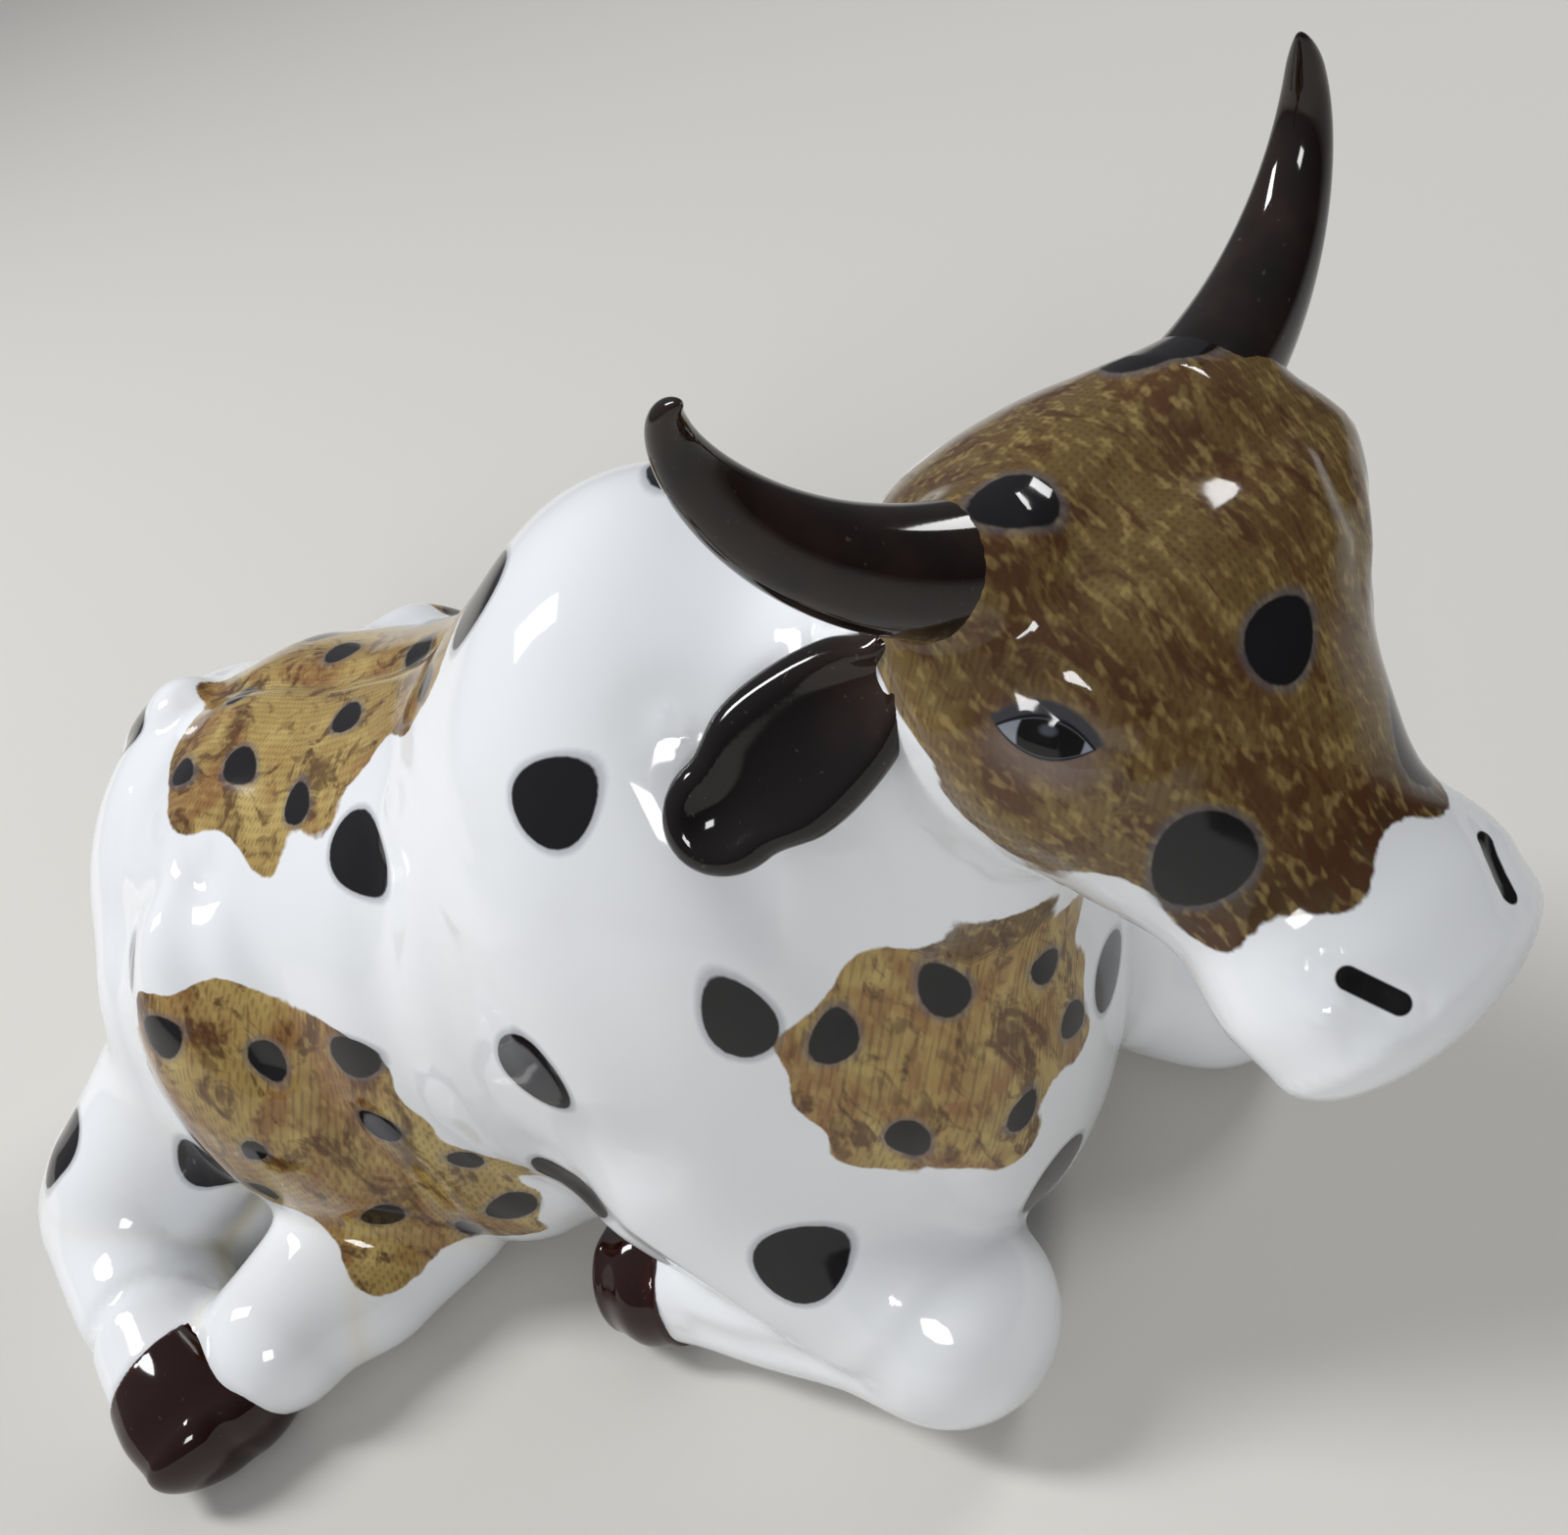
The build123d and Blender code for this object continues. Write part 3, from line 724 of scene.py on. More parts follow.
def blotch_distance(cow, points, normals, patch, from_eye):
    """How far points lie outside the dark blotches that are dabbed on the hide and the white."""
    draws = np.random.default_rng(11)
    head = on_head(cow, points)
    brow = head & (normals @ cow.crown > 0.4) & ((points - cow.poll) @ cow.crown > -10 * MM)
    # Where each kind of blotch may lie, its spacing, how many there are at most, and its half length in mm
    kinds = (
        ((patch < -2.2 * MM) & ~head & (points[:, 2] > 9 * MM), 8.6 * MM, 70, (1.875, 2.875)),
        ((patch > 4.5 * MM) & ~head & (points[:, 2] > 20 * MM), 19 * MM, 44, (3.75, 4.75)),
        ((patch < -3.5 * MM) & brow & (from_eye > 10.5 * MM), 13 * MM, 5, (3.25, 4.625)),
    )
    places = []
    for allowed, spacing, count, half_lengths in kinds:
        free = np.flatnonzero(allowed)
        places += [(free[i], half_lengths) for i in scattered(points[free], spacing, count, draws)]
    # Farther off than this the paint doesn't show
    nearest = np.full(len(points), 4 * MM)
    for place, half_lengths in places:
        normal = normals[place]
        along = unit(np.cross(normal, draws.normal(size=3)))
        across = np.cross(normal, along)
        half_long = draws.uniform(*half_lengths) * MM
        half_short = half_long * draws.uniform(0.68, 0.86)
        reach = 9 * MM
        near = within(points, points[place] - reach, points[place] + reach)
        local = points[near] - points[place]
        u, v = local @ along, local @ across
        # Egg shaped, with one end slimmer
        slim = half_short * (1 - 0.26 * np.clip(u / half_long, -1, 1))
        scaled = np.sqrt((u / half_long) ** 2 + (v / slim) ** 2)
        # The paint stays on its own side where the body is thin
        gap = (scaled - 1) * slim + np.maximum(np.abs(local @ normal) - 5.5 * MM, 0)
        nearest[near] = np.minimum(nearest[near], gap)
    return nearest


def local_places(cow, points, centre_shares, along_shares, outward_shares):
    """Places of points along, up and out from a spot that both sides of the head have, in metres."""
    sides = np.where((points - cow.poll) @ cow.head_side < 0, -1.0, 1.0)
    local = np.empty_like(points)
    for flip in (1, -1):
        mirror = np.array((1, flip, 1))
        outward = unit((outward_shares * mirror) @ cow.head_axes)
        along = (along_shares * mirror) @ cow.head_axes
        along = unit(along - outward * (along @ outward))
        upward = np.cross(along, outward) * flip
        chosen = sides == flip
        axes = np.array((along, upward, outward))
        local[chosen] = (points[chosen] - cow.on_head(*centre_shares[flip])) @ axes.T
    return local


def face_shade(cow, points, patch):
    """How pale the hide's edge is along the cheek, and how dark along the muzzle, below zero."""
    x, y, z = ((points - cow.poll) @ cow.head_axes.T / cow.head_sizes).T
    near_edge = np.clip(1 + patch / (9 * MM), 0, 1)
    cheek = np.clip((-z - 0.12) / 0.25, 0, 1) * np.clip((0.62 - x) / 0.2, 0, 1)
    muzzle = np.clip((x - 0.42) / 0.2, 0, 1)
    return near_edge * (cheek - muzzle) * on_head(cow, points)


# How far places are squeezed along the body's axes, and along the head's own
BODY_HAIR_SQUEEZE = (0.8, 1.0, 0.45)
HEAD_HAIR_SQUEEZE = (0.45, 1.0, 1.0)


def hair_places(cow, points):
    """Places that are squeezed the way the hair lies, so that a pattern on them runs in streaks."""
    hair = points * BODY_HAIR_SQUEEZE
    chosen = on_head(cow, points)
    hair[chosen] = ((points[chosen] - cow.poll) @ cow.head_axes.T) * HEAD_HAIR_SQUEEZE
    return hair, chosen


# Materials

def linear(hex_colour):
    """Linear colour of an sRGB hex value."""
    channels = [int(hex_colour[i:i + 2], 16) / 255 for i in (1, 3, 5)]
    return tuple(c / 12.92 if c <= 0.04045 else ((c + 0.055) / 1.055) ** 2.4 for c in channels) + (1.0,)


def add_node(tree, kind, inputs=None, **settings):
    """Add a node with its settings, its values and its links, from a socket or a node's first live one."""
    node = tree.nodes.new(kind)
    for name, value in settings.items():
        setattr(node, name, value)
    for socket, value in (inputs or {}).items():
        if isinstance(value, bpy.types.Node):
            value = next(output for output in value.outputs if output.enabled)
        if isinstance(value, bpy.types.NodeSocket):
            tree.links.new(value, node.inputs[socket])
        else:
            node.inputs[socket].default_value = value
    return node


def maths(tree, operation, *values):
    """Add a node that reckons with numbers."""
    return add_node(tree, "ShaderNodeMath", dict(enumerate(values)), operation=operation)


def vector_maths(tree, operation, *values):
    """Add a node that reckons with vectors."""
    return add_node(tree, "ShaderNodeVectorMath", dict(enumerate(values)), operation=operation)


def noise(tree, place, size, detail, rough=0.5, bend=0.0):
    """Add a cloudy pattern, with its size in millimetres."""
    return add_node(tree, "ShaderNodeTexNoise", {
        "Vector": place, "Scale": 1 / (size * MM), "Detail": detail, "Roughness": rough, "Distortion": bend})


def stored(tree, name, kind="Fac"):
    """Number that is kept for each point of a mesh, or a place where the kind is Vector."""
    return add_node(tree, "ShaderNodeAttribute", attribute_name=name).outputs[kind]


def new_material(name):
    """Material with an empty tree, its shader and its output."""
    material = bpy.data.materials.new(name)
    material.use_nodes = True
    tree = material.node_tree
    tree.nodes.clear()
    shader = add_node(tree, "ShaderNodeBsdfPrincipled")
    add_node(tree, "ShaderNodeOutputMaterial", {"Surface": shader})
    return material, tree, shader


def painted(tree, colour, layers):
    """Colour with paint laid over it: each layer's value, where it starts and is full, strength and paint.

    Colours and paints are nodes or sRGB hex values.
    """
    for value, start, full, strength, paint in layers:
        amount = add_node(tree, "ShaderNodeMapRange", {0: value, 1: start, 2: full, 4: strength},
                          interpolation_type="SMOOTHSTEP")
        under, over = (linear(look) if isinstance(look, str) else look for look in (colour, paint))
        colour = add_node(tree, "ShaderNodeMix", {0: amount, 6: under, 7: over}, data_type="RGBA")
    return colour


def finish_glaze(tree, shader, colour, place):
    """Clear glass glaze over a colour, with the slow waves of a glaze that ran before it set.

    The glaze is the coat. The colour under it has no shine of its own.
    """
    settings = {"Roughness": 0.4, "IOR": 1.5, "Specular IOR Level": 0.0, "Coat Weight": 1.0,
                "Coat Roughness": 0.07, "Coat IOR": 1.5}
    for name, value in settings.items():
        shader.inputs[name].default_value = value
    bump = add_node(tree, "ShaderNodeBump", {"Height": noise(tree, place, 9, 1.0), "Distance": 0.12 * MM})
    tree.links.new(colour.outputs[2], shader.inputs["Base Color"])
    for name in ("Normal", "Coat Normal"):
        tree.links.new(bump.outputs[0], shader.inputs[name])


def hide_paint(tree, place, hair, on_head, shade, glazes):
    """Cowhide print: mottled browns in streaks, with a fine woven grain and darker on the head."""
    light, dark, red, fine, speck = (noise(tree, hair, *look) for look in (
        (5.5, 3.0, 0.55, 0.4), (4.2, 4.0, 0.62, 1.2), (8.0, 3.0, 0.6, 0.8), (0.8, 1.0), (2.0, 2.0, 0.6, 0.6)))
    # Threads 0.5 mm apart, which is coarser than the print's own dots, so that they show
    per_thread = radians(360) / 20 / (0.5 * MM)
    threads = []
    for lean in (28, 118):
        turned_place = add_node(tree, "ShaderNodeVectorRotate", {
            "Vector": place, "Axis": unit((0.5, -0.2, 0.85)).tolist(), "Angle": radians(lean)})
        threads.append(add_node(tree, "ShaderNodeTexWave", {
            "Vector": turned_place, "Scale": per_thread, "Distortion": 1.2, "Detail": 1.0}).outputs["Fac"])
    weave = maths(tree, "MULTIPLY", *threads)
    return painted(tree, glazes.hide, (
        (light, 0.46, 0.62, 0.8, glazes.hide_light),
        (red, 0.48, 0.64, 0.6, "#7A4426"),
        (on_head, 0.0, 1.0, 0.7, "#3A2410"),
        (shade, 0.1, 0.85, 0.7, "#8C8276"),
        (shade, -0.1, -0.9, 0.7, "#2A140C"),
        (dark, 0.50, 0.62, 0.8, glazes.hide_dark),
        (speck, 0.56, 0.68, 0.5, glazes.hide_dark),
        (fine, 0.50, 0.72, 0.35, glazes.hide_light),
        (weave, 0.15, 0.65, 0.3, glazes.hide_dark),
    ))


def clear_glazed_earthenware(glazes):
    """White earthenware, slip cast, printed in browns and black, then dipped in clear glaze.

    The eye gets deep wet gloss with small sharp lights over flat, soft-edged colour, and a
    straw tint where the glaze pools in the hollows of the legs.
    """
    material, tree, shader = new_material("clear_glazed_earthenware")
    place = add_node(tree, "ShaderNodeTexCoord").outputs["Object"]
    hair = stored(tree, "hair", "Vector")
    hide = hide_paint(tree, place, hair, stored(tree, "on_head"), stored(tree, "shade"), glazes)
    tuft_length = 0.9 * MM
    ragged = maths(tree, "MULTIPLY_ADD", noise(tree, hair, 1.3, 3.0), tuft_length, -tuft_length / 2)
    edge = maths(tree, "ADD", stored(tree, "patch"), ragged)
    dabbed = maths(tree, "MULTIPLY_ADD", ragged, 0.15, stored(tree, "blotch"))
    colour = painted(tree, glazes.white, (
        (stored(tree, "pool"), 0.1 * MM, 1.6 * MM, 0.7, glazes.pool),
        (edge, 0.25 * MM, -0.15 * MM, 1.0, hide),
        (dabbed, 0.75 * MM, 0.15 * MM, 0.4, "#59616F"),
        (dabbed, 0.12 * MM, -0.12 * MM, 1.0, glazes.blotch),
    ))
    colour = painted_eye(tree, colour, stored(tree, "eye", "Vector"))
    colour = painted_nostril(tree, colour, stored(tree, "nostril", "Vector"))
    finish_glaze(tree, shader, colour, place)
    return material


def painted_eye(tree, colour, place):
    """Almond eye: soft surround, grey lid, dark line, pale corners, a black eyeball and its glare."""
    across, rise, depth = add_node(tree, "ShaderNodeSeparateXYZ", {0: place}).outputs

    def inside_almond(half_length, half_height, shift):
        """How far places lie inside an almond, in metres."""
        share = maths(tree, "DIVIDE", across, half_length)
        bow = maths(tree, "MULTIPLY_ADD", maths(tree, "MULTIPLY", share, share), -half_height, half_height)
        height = maths(tree, "ABSOLUTE", maths(tree, "SUBTRACT", rise, shift))
        inside = maths(tree, "SUBTRACT", bow, height)
        # Only near the surface at the eye, and not through the head
        return maths(tree, "MINIMUM", inside, maths(tree, "ADD", depth, 6 * MM))

    def outside_round(middle, radius, squeeze):
        """How far places lie outside a round or squeezed spot, in metres."""
        moved = vector_maths(tree, "SUBTRACT", place, middle)
        moved = vector_maths(tree, "MULTIPLY", moved, (1, squeeze, 0))
        outside = maths(tree, "SUBTRACT", vector_maths(tree, "LENGTH", moved), radius)
        # Not on the far side of the head
        return maths(tree, "MAXIMUM", outside, maths(tree, "MULTIPLY_ADD", depth, -1.0, -8 * MM))

    soft, sharp = 0.25 * MM, 0.1 * MM
    lid, line, white = (inside_almond(*sizes) for sizes in (
        (3.75 * MM, 2.0 * MM, 0.3 * MM), (3.3 * MM, 1.55 * MM, -0.2 * MM), (3.1 * MM, 1.3 * MM, -0.25 * MM)))
    eyeball = outside_round((0.35 * MM, -0.1 * MM, 0), 2.15 * MM, 0.8)
    eyeball = maths(tree, "MINIMUM", maths(tree, "MULTIPLY", eyeball, -1.0), white)
    glare = outside_round((0.1 * MM, 0.35 * MM, 0), 0.55 * MM, 1.5)
    surround = outside_round((0.3 * MM, -0.8 * MM, 0), 2.4 * MM, 1.25)
    return painted(tree, colour, (
        (surround, 3.2 * MM, -0.5 * MM, 0.75, "#776660"),
        (lid, -soft, soft, 0.95, "#3E3F45"),
        (line, -sharp, sharp, 1.0, "#131215"),
        (white, -sharp, sharp, 1.0, "#8D939C"),
        (eyeball, -sharp, sharp, 1.0, "#0B090A"),
        (glare, soft, -soft, 0.7, "#5A5E68"),
    ))


def painted_nostril(tree, colour, place):
    """Black slot with round ends."""
    across, rise, depth = add_node(tree, "ShaderNodeSeparateXYZ", {0: place}).outputs
    beyond = maths(tree, "SUBTRACT", maths(tree, "ABSOLUTE", across), 1.9 * MM)
    beyond = maths(tree, "MAXIMUM", beyond, 0.0)
    apart = add_node(tree, "ShaderNodeCombineXYZ", {0: beyond, 1: rise, 2: depth})
    apart = vector_maths(tree, "LENGTH", vector_maths(tree, "MULTIPLY", apart, (1, 1, 0.3)))
    return painted(tree, colour, ((apart, 0.95 * MM, 0.75 * MM, 1.0, "#0E0B0B"),))


def dark_glaze(name, thick_colour, thin_colour, thin_by):
    """Brown-black gloss glaze over clay, brushed on.

    The eye gets near-black gloss with sharp lights, small specks, and brown where the glaze runs thin.
    """
    material, tree, shader = new_material(name)
    place = add_node(tree, "ShaderNodeTexCoord").outputs["Object"]
    amount = maths(tree, "MULTIPLY", stored(tree, "thin"), thin_by)
    amount = maths(tree, "MULTIPLY_ADD", noise(tree, place, 4, 4.0), 0.5, amount)
    colour = painted(tree, thick_colour, (
        (amount, 0.35, 1.0, 1.0, thin_colour),
        (noise(tree, place, 0.7, 2.0), 0.70, 0.76, 0.3, "#6A5A50"),
    ))
    finish_glaze(tree, shader, colour, place)
    return material


# Horn, shaped by a tree of nodes

def horn_tree(material):
    """Node tree that turns a bent line into a closed, tapered horn."""
    tree = bpy.data.node_groups.new("tapered_horn", "GeometryNodeTree")
    face = tree.interface
    face.new_socket("Geometry", in_out="INPUT", socket_type="NodeSocketGeometry")
    for name in ("Base Radius", "Tip Radius", "Taper", "Sunk Share", "Steps", "Sides"):
        kind = "NodeSocketInt" if name in ("Steps", "Sides") else "NodeSocketFloat"
        face.new_socket(name, in_out="INPUT", socket_type=kind)
    face.new_socket("Geometry", in_out="OUTPUT", socket_type="NodeSocketGeometry")
    given = add_node(tree, "NodeGroupInput").outputs
    line = add_node(tree, "GeometryNodeResampleCurve", {0: given["Geometry"], "Count": given["Steps"]})
    place = add_node(tree, "GeometryNodeSplineParameter").outputs["Factor"]
    out = add_node(tree, "ShaderNodeMapRange", {"Value": place, "From Min": given["Sunk Share"]})
    thick = add_node(tree, "ShaderNodeMapRange", {
        "Value": maths(tree, "POWER", out, given["Taper"]),
        "To Min": given["Base Radius"], "To Max": given["Tip Radius"]})
    # The last tenth rounds off to the tip
    near_tip = add_node(tree, "ShaderNodeMapRange", {"Value": place, "From Min": 0.9})
    fall = maths(tree, "SUBTRACT", 1.0, maths(tree, "MULTIPLY", near_tip, near_tip))
    fall = maths(tree, "MAXIMUM", maths(tree, "SQRT", fall), 0.02)
    radius = maths(tree, "MULTIPLY", thick, fall)
    circle = add_node(tree, "GeometryNodeCurvePrimitiveCircle", {"Resolution": given["Sides"], "Radius": 1.0})
    horn = add_node(tree, "GeometryNodeCurveToMesh", {
        "Curve": line, "Profile Curve": circle, "Scale": radius, "Fill Caps": True})
    kept = add_node(tree, "GeometryNodeStoreNamedAttribute", {
        "Geometry": horn, "Name": "thin", "Value": maths(tree, "SUBTRACT", 1.0, place)})
    smooth = add_node(tree, "GeometryNodeSetShadeSmooth", {0: kept})
    real = add_node(tree, "GeometryNodeRealizeInstances", {0: smooth})
    finish = add_node(tree, "GeometryNodeSetMaterial", {"Geometry": real, "Material": material})
    add_node(tree, "NodeGroupOutput", {0: finish})
    return tree


# Root of the left horn, in shares of the head's sizes
HORN_ROOT_SHARES = (0.02, 0.26, -0.06)
# Each control point of a horn, left 1 and right -1: how far outward, crownward and back it lies
HORN_LINE_SHARES = {
    1: ((0.00, 0.00, 0.00), (0.85, -0.12, 0.10), (1.30, 0.25, 0.68), (1.00, 0.70, 0.92)),
    -1: ((0.00, 0.00, 0.00), (0.85, 0.10, 0.35), (1.02, 0.50, 1.15), (0.96, 0.85, 1.00)),
}

# How deep a horn's root is sunk in the head, and how many points its line has
HORN_SUNK = 3 * MM
HORN_LINE_COUNT = 160


def horn_corners(cow, flip):
    """Control points of a horn's line, from inside the head to the tip."""
    head = cow.head
    root = cow.on_head(*HORN_ROOT_SHARES * np.array((1, flip, 1)))
    points = []
    for out, lift, back in HORN_LINE_SHARES[flip]:
        shift = cow.head_side * flip * head.horn_spread * out
        points.append(root + shift + cow.crown * head.horn_rise * lift - cow.face * head.horn_rise * back)
    return points


def bezier_points(corners, count):
    """Points along a cubic curve with four control points."""
    t = np.linspace(0, 1, count)[:, None]
    a, b, c, d = corners
    return (1 - t) ** 3 * a + 3 * t * (1 - t) ** 2 * b + 3 * t**2 * (1 - t) * c + t**3 * d


def build_horn(cow, name, flip, tree):
    """Horn on one side: a line that the node tree gives its body, with its root sunk in the head."""
    curve = bpy.data.curves.new(name, "CURVE")
    curve.dimensions = "3D"
    line = bezier_points(horn_corners(cow, flip), HORN_LINE_COUNT)
    long = np.linalg.norm(np.diff(line, axis=0), axis=1).sum()
    outward = unit(unit(line[1] - line[0]) + cow.crown)
    line = np.vstack((line[0] - outward * HORN_SUNK, line))
    spline = curve.splines.new("POLY")
    spline.points.add(len(line) - 1)
    spline.points.foreach_set("co", np.column_stack((line, np.ones(len(line)))).ravel())
    piece = bpy.data.objects.new(name, curve)
    bpy.context.scene.collection.objects.link(piece)
    modifier = piece.modifiers.new("horn", "NODES")
    modifier.node_group = tree
    head = cow.head
    values = {"Base Radius": head.horn_base / 2, "Tip Radius": head.horn_tip / 2, "Taper": head.horn_taper,
              "Sunk Share": HORN_SUNK / (long + HORN_SUNK), "Steps": 180, "Sides": 96}
    for socket in tree.interface.items_tree:
        if socket.in_out == "INPUT" and socket.name in values:
            modifier[socket.identifier] = values[socket.name]
    bpy.context.view_layer.update()
    solid = bpy.data.meshes.new_from_object(piece.evaluated_get(bpy.context.evaluated_depsgraph_get()))
    piece.modifiers.remove(modifier)
    bpy.data.objects.remove(piece)
    solid.name = name
    return add_object(solid)


# Hooves

# Rounding of a hoof's top edge and of its foot, the cleft's half width and depth, and the room round a hoof
HOOF_EDGE = 0.8 * MM
HOOF_FOOT = 1.0 * MM
CLEFT_HALF_WIDTH = 1.3 * MM
CLEFT_DEPTH = 0.5 * MM
HOOF_ROOM = 1.5 * MM
# How far below the coronet the glaze of a hoof stays thin
HOOF_THIN_LENGTH = 1.5 * MM


def build_hoof(cow, name, rows, sizes, flip, material):
    """Hoof on the end of a leg, cut off square at the coronet and cleft in front."""
    cannon, hoof = rows
    thick, long = sizes
    swell = 2 * cow.body.hoof_step
    form = row_form(cow.stand, cannon + hoof, thick, thick / 2, long / 4, flip=flip, swell=swell)
    coronet, toe = (cow.stand(row[0], row[1] * flip, row[2]) for row in (cannon[-1], hoof[-1]))
    run = unit(toe - coronet)
    cleft = [toe + run * long * 0.2 + UPWARD * thick * lift for lift in (0.5, 0.0, -0.5)]

    def distance(points):
        value = -blended(-form(points), (points - coronet) @ run, HOOF_EDGE)
        value = value + CLEFT_DEPTH * np.exp(-((line_distance(points, cleft) / CLEFT_HALF_WIDTH) ** 2))
        return cut_flat(value, points, HOOF_FOOT)

    low, high = (np.array(corner, float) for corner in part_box(name))
    mesh, points = skin_mesh(f"glazed_{name}", distance, low - HOOF_ROOM, high + HOOF_ROOM, cow.fine_voxel)
    keep_values(mesh, "thin", np.exp(-((points - coronet) @ run) / HOOF_THIN_LENGTH))
    piece = add_object(mesh, material)
    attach(piece, "root")
    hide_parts(name)


# Ears

EAR_ROOT_SHARES = (0.05, 0.44, -0.29)
# Direction of the ear: outward from the head, forward along the face and down from the crown
EAR_RUN_SHARES = (0.77, 0.08, -0.63)
# Each row: place along the ear, width and thickness, and the width of its dish
EAR_SHARES = (
    (0.00, 0.50, 0.95, 0.30),
    (0.12, 0.74, 0.92, 0.56),
    (0.34, 0.96, 1.00, 0.72),
    (0.56, 0.98, 0.92, 0.72),
    (0.76, 0.76, 0.76, 0.58),
)

# Domes of the leaf and of its dish at the tip, in shares of the ear's length
EAR_TIP_SHARE = 0.24
DISH_TIP_SHARE = 0.16
# Thickness of the form that cuts the dish, in shares of the dish's depth
DISH_CUT_SHARE = 2.4
EAR_RIM_ROUNDING = 2.2 * MM
# How far from its root the glaze of an ear stays thin
EAR_THIN_LENGTH = 5 * MM


def ear_surface(cow, flip):
    """Leaf with a rolled rim round a dished face, with its root and the box about it."""
    head = cow.head
    x, y, z = EAR_ROOT_SHARES
    root = cow.on_head(x, y * flip, z)
    out, forward, lift = EAR_RUN_SHARES
    run = unit(cow.head_side * out * flip + cow.face * forward + cow.crown * lift)
    front = np.cross(run, cow.face) * flip
    centres, sizes, dish_centres, dish_sizes = [], [], [], []
    for along, wide, thick, dish in EAR_SHARES:
        centre = root + run * head.ear_length * along
        centres.append(centre)
        sizes.append((head.ear_width * wide, head.ear_thickness * thick))
        dish_centres.append(centre - front * head.ear_thickness * thick / 2)
        dish_sizes.append((head.ear_width * wide * dish, head.ear_dish * DISH_CUT_SHARE))
    tip, dish_tip = head.ear_length * EAR_TIP_SHARE, head.ear_length * DISH_TIP_SHARE
    leaf = straight_form(centres, sizes, cow.face, head.ear_thickness / 2, tip, run)
    bowl = straight_form(dish_centres, dish_sizes, cow.face, head.ear_dish, dish_tip, run)

    def distance(points):
        return -blended(-leaf(points), bowl(points), EAR_RIM_ROUNDING)

    ends = np.array(centres)
    return distance, root, ends.min(axis=0) - head.ear_width, ends.max(axis=0) + head.ear_width


# Stage

def light_world(scene):
    """Soft light from all round, stronger from above on the side of the windows."""
    world = bpy.data.worlds.new("studio")
    scene.world = world
    world.use_nodes = True
    tree = world.node_tree
    tree.nodes.clear()
    way = add_node(tree, "ShaderNodeTexCoord").outputs["Generated"]
    facing = vector_maths(tree, "DOT_PRODUCT", way, unit((-0.5, -0.2, 0.8)).tolist())
    strength = add_node(tree, "ShaderNodeMapRange", {0: facing, 1: -0.5, 2: 1.0, 3: 0.07, 4: 0.34})
    light = add_node(tree, "ShaderNodeBackground", {"Color": linear("#F1F4FA"), "Strength": strength})
    add_node(tree, "ShaderNodeOutputWorld", {"Surface": light})


def add_lamp(name, place, size, power):
    """Soft rectangular light that looks at the figurine."""
    data = bpy.data.lights.new(name, "AREA")
    data.shape = "RECTANGLE"
    data.size, data.size_y = size
    data.energy = power
    lamp = bpy.data.objects.new(name, data)
    lamp.location = place
    target = Vector((0.0, 0.0, 0.03))
    lamp.rotation_euler = (target - Vector(place)).to_track_quat("-Z", "Y").to_euler()
    bpy.context.scene.collection.objects.link(lamp)


def add_camera(scene, stage):
    """Camera at the photograph's viewing angle."""
    data = bpy.data.cameras.new("camera")
    data.sensor_width = 36
    data.lens = stage.camera_lens
    data.clip_start = 0.01
    camera = bpy.data.objects.new("camera", data)
    # With no turn, pitch or roll it looks along +Y
    turns = ((stage.camera_turn, "Z"), (radians(90) - stage.camera_pitch, "X"), (-stage.camera_roll, "Z"))
    placed = Matrix.Translation(stage.camera_place)
    for turn, axis in turns:
        placed = placed @ Matrix.Rotation(turn, 4, axis)
    camera.matrix_world = placed
    scene.collection.objects.link(camera)
    scene.camera = camera


# Operators

class FIGURINE_OT_body(bpy.types.Operator):
    """Build the glazed skin over torso, head, legs, udder and tail"""
    bl_idname = "figurine.body"
    bl_label = "Body"

    def execute(self, context):
        cow = Cow(context.scene)
        distance, filled = body_surface(cow)
        low, high = (np.array(corner, float) for corner in cad_box)
        margin = 3 * cow.voxel
        low, high = low - margin, high + margin
        # The horns reach higher, but aren't part of the skin
        high[2] = cow.poll[2] + cow.head.crown_reach
        finer = relief_surface(cow, distance)
        mesh, points = skin_mesh("glazed_body", distance, low, high, cow.voxel, finer)
        normals = unit_rows(slope_of(points, distance, SLOPE_STEP))
        patch = patch_distance(cow, points)
        hair, on_head = hair_places(cow, points)
        eye = local_places(cow, points, EYE_SHARES, EYE_RUN_SHARES, EYE_OUT_SHARES)
        from_eye = np.hypot(eye[:, 0], eye[:, 1])
        # Glaze pools low down on the rear half
        low_down = np.clip(1.6 - points[:, 2] / (22 * MM), 0, 1)
        to_rear = np.clip((4 * MM - points[:, 0]) / (30 * MM), 0, 1)
        kept = {
            "pool": filled(points) * low_down * to_rear,
            "patch": patch,
            "blotch": blotch_distance(cow, points, normals, patch, from_eye),
            "hair": hair,
            "on_head": on_head,
            "shade": face_shade(cow, points, patch),
            "eye": eye,
            "nostril": local_places(cow, points, NOSTRIL_SHARES, NOSTRIL_RUN_SHARES, NOSTRIL_OUT_SHARES),
        }
        for name, values in kept.items():
            keep_values(mesh, name, values)
        skin = add_object(mesh, clear_glazed_earthenware(cow.glazes))
        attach(skin, "root")
        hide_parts("torso", "head", "left_foreleg", "right_foreleg", "left_hind_leg", "right_hind_leg",
                    "udder", "tail")
        return {"FINISHED"}


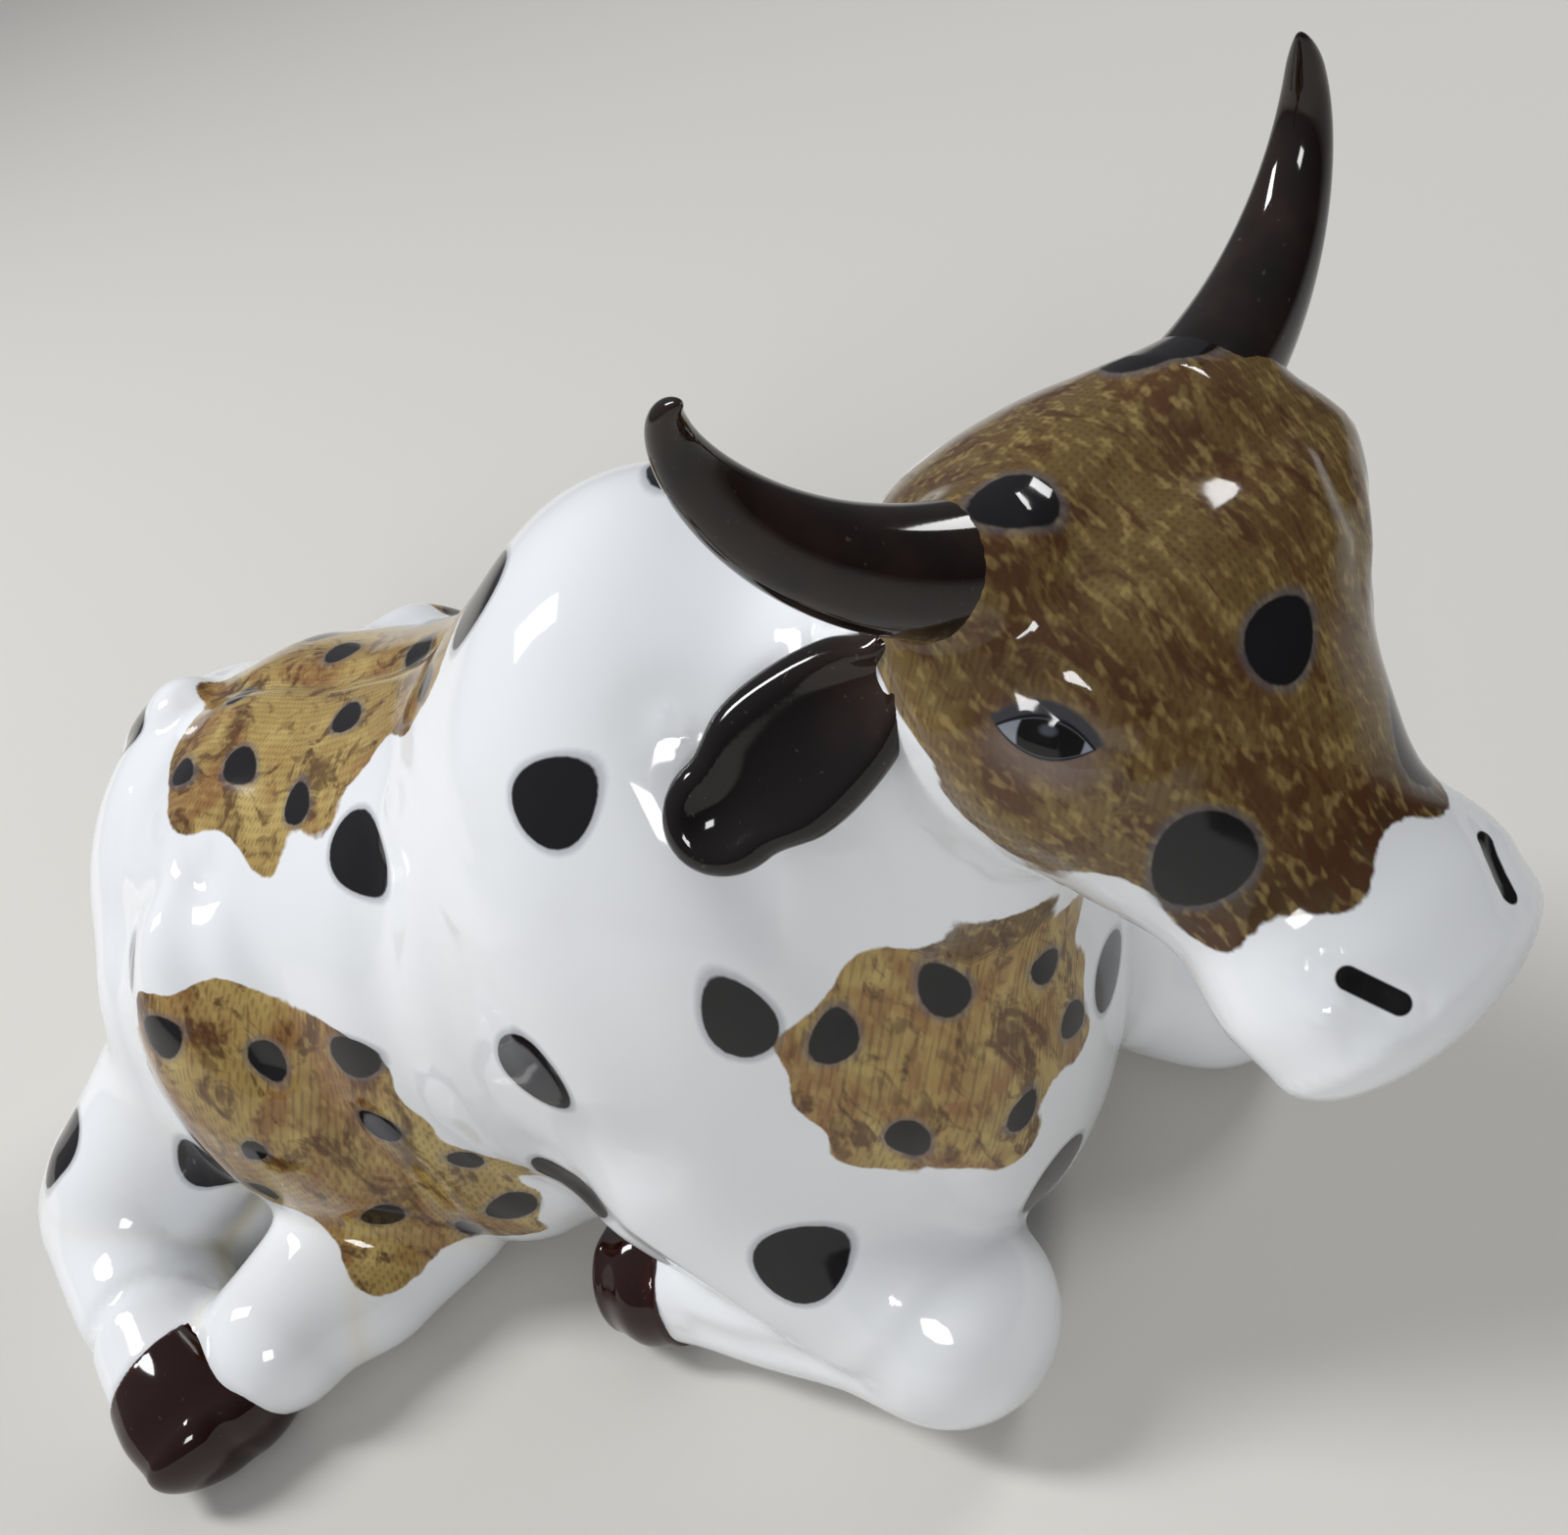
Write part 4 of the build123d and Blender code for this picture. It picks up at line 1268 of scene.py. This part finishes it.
class FIGURINE_OT_hooves(bpy.types.Operator):
    """Build the four glazed hooves"""
    bl_idname = "figurine.hooves"
    bl_label = "Hooves"

    def execute(self, context):
        cow = Cow(context.scene)
        material = dark_glaze("maroon_glazed_clay", cow.glazes.hoof, "#4A1C14", 0.3)
        sizes = {"fore": (cow.body.knee_size, cow.body.fore_hoof_length),
                 "hind": (cow.body.hock_size, cow.body.hind_hoof_length)}
        for side, flip in (("right", 1), ("left", -1)):
            for end in ("fore", "hind"):
                rows = cannon_and_hoof_rows(end, side)
                build_hoof(cow, f"{side}_{end}_hoof", rows, sizes[end], flip, material)
        return {"FINISHED"}


class FIGURINE_OT_horns(bpy.types.Operator):
    """Build the two horns"""
    bl_idname = "figurine.horns"
    bl_label = "Horns"

    def execute(self, context):
        cow = Cow(context.scene)
        glazes = cow.glazes
        tree = horn_tree(dark_glaze("brown_black_glazed_horn", glazes.horn, glazes.horn_thin, 0.3))
        for side, flip in (("right", -1), ("left", 1)):
            piece = build_horn(cow, f"glazed_{side}_horn", flip, tree)
            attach(piece, "root")
            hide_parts(f"{side}_horn")
        return {"FINISHED"}


class FIGURINE_OT_ears(bpy.types.Operator):
    """Build the two ears"""
    bl_idname = "figurine.ears"
    bl_label = "Ears"

    def execute(self, context):
        cow = Cow(context.scene)
        material = dark_glaze("brown_black_glazed_ear", cow.glazes.horn, cow.glazes.horn_thin, 0.8)
        for side, flip in (("right", -1), ("left", 1)):
            distance, root, low, high = ear_surface(cow, flip)
            mesh, points = skin_mesh(f"glazed_{side}_ear", distance, low, high, cow.fine_voxel)
            keep_values(mesh, "thin", np.exp(-np.linalg.norm(points - root, axis=1) / EAR_THIN_LENGTH))
            piece = add_object(mesh, material)
            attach(piece, "root")
            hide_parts(f"{side}_ear")
        return {"FINISHED"}


class FIGURINE_OT_stage(bpy.types.Operator):
    """Set the pale floor, the soft light and the camera"""
    bl_idname = "figurine.stage"
    bl_label = "Stage"

    def execute(self, context):
        scene = context.scene
        stage = scene.cow_stage
        half = 3.0
        corners = [(-half, -half, 0), (half, -half, 0), (half, half, 0), (-half, half, 0)]
        mesh = bpy.data.meshes.new("floor")
        mesh.from_pydata(corners, [], [(0, 1, 2, 3)])
        material, tree, shader = new_material("pale_matt_card")
        shader.inputs["Base Color"].default_value = linear(stage.floor)
        shader.inputs["Roughness"].default_value = 0.9
        add_object(mesh, material)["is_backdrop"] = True
        light_world(scene)
        # Each lamp: where it stands, its width and height, and its power in watts
        lamps = {"key_window": ((-0.52, -0.12, 0.62), (0.14, 0.36), 4.2),
                 "fill_window": ((0.30, -0.70, 0.50), (0.20, 0.20), 2.2),
                 "back_window": ((0.30, 0.60, 0.55), (0.30, 0.16), 2.0)}
        for name, (place, size, power) in lamps.items():
            add_lamp(name, place, size, power)
        add_camera(scene, stage)
        scene.view_settings.view_transform = "Standard"
        return {"FINISHED"}


class FIGURINE_PT_panel(bpy.types.Panel):
    """Lists the pieces of the figurine and their sizes"""
    bl_idname = "FIGURINE_PT_panel"
    bl_label = "Cow Figurine"
    bl_space_type = "VIEW_3D"
    bl_region_type = "UI"
    bl_category = "Cow Figurine"

    def draw(self, context):
        for operator in OPERATORS:
            self.layout.operator(operator.bl_idname)
        for name in GROUPS:
            group = getattr(context.scene, name)
            box = self.layout.box()
            for key in group.bl_rna.properties.keys():
                if key not in ("rna_type", "name"):
                    box.prop(group, key)


OPERATORS = (FIGURINE_OT_stage, FIGURINE_OT_body, FIGURINE_OT_horns, FIGURINE_OT_ears, FIGURINE_OT_hooves)
GROUPS = {"cow_body": CowBodySizes, "cow_head": CowHeadSizes, "cow_glazes": CowGlazes, "cow_stage": CowStage}


def register():
    for group in GROUPS.values():
        bpy.utils.register_class(group)
    for name, group in GROUPS.items():
        setattr(bpy.types.Scene, name, bpy.props.PointerProperty(type=group))
    for operator in OPERATORS:
        bpy.utils.register_class(operator)
    bpy.utils.register_class(FIGURINE_PT_panel)


def unregister():
    bpy.utils.unregister_class(FIGURINE_PT_panel)
    for operator in reversed(OPERATORS):
        bpy.utils.unregister_class(operator)
    for name, group in GROUPS.items():
        delattr(bpy.types.Scene, name)
        bpy.utils.unregister_class(group)


def main():
    register()
    bpy.ops.figurine.stage()
    bpy.ops.figurine.body()
    bpy.ops.figurine.horns()
    bpy.ops.figurine.ears()
    bpy.ops.figurine.hooves()
    corners = {"cad": cad_box, "visual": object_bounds()}
    plain = {name: [list(corner) for corner in box] for name, box in corners.items()}


if __name__ == "__main__":
    main()
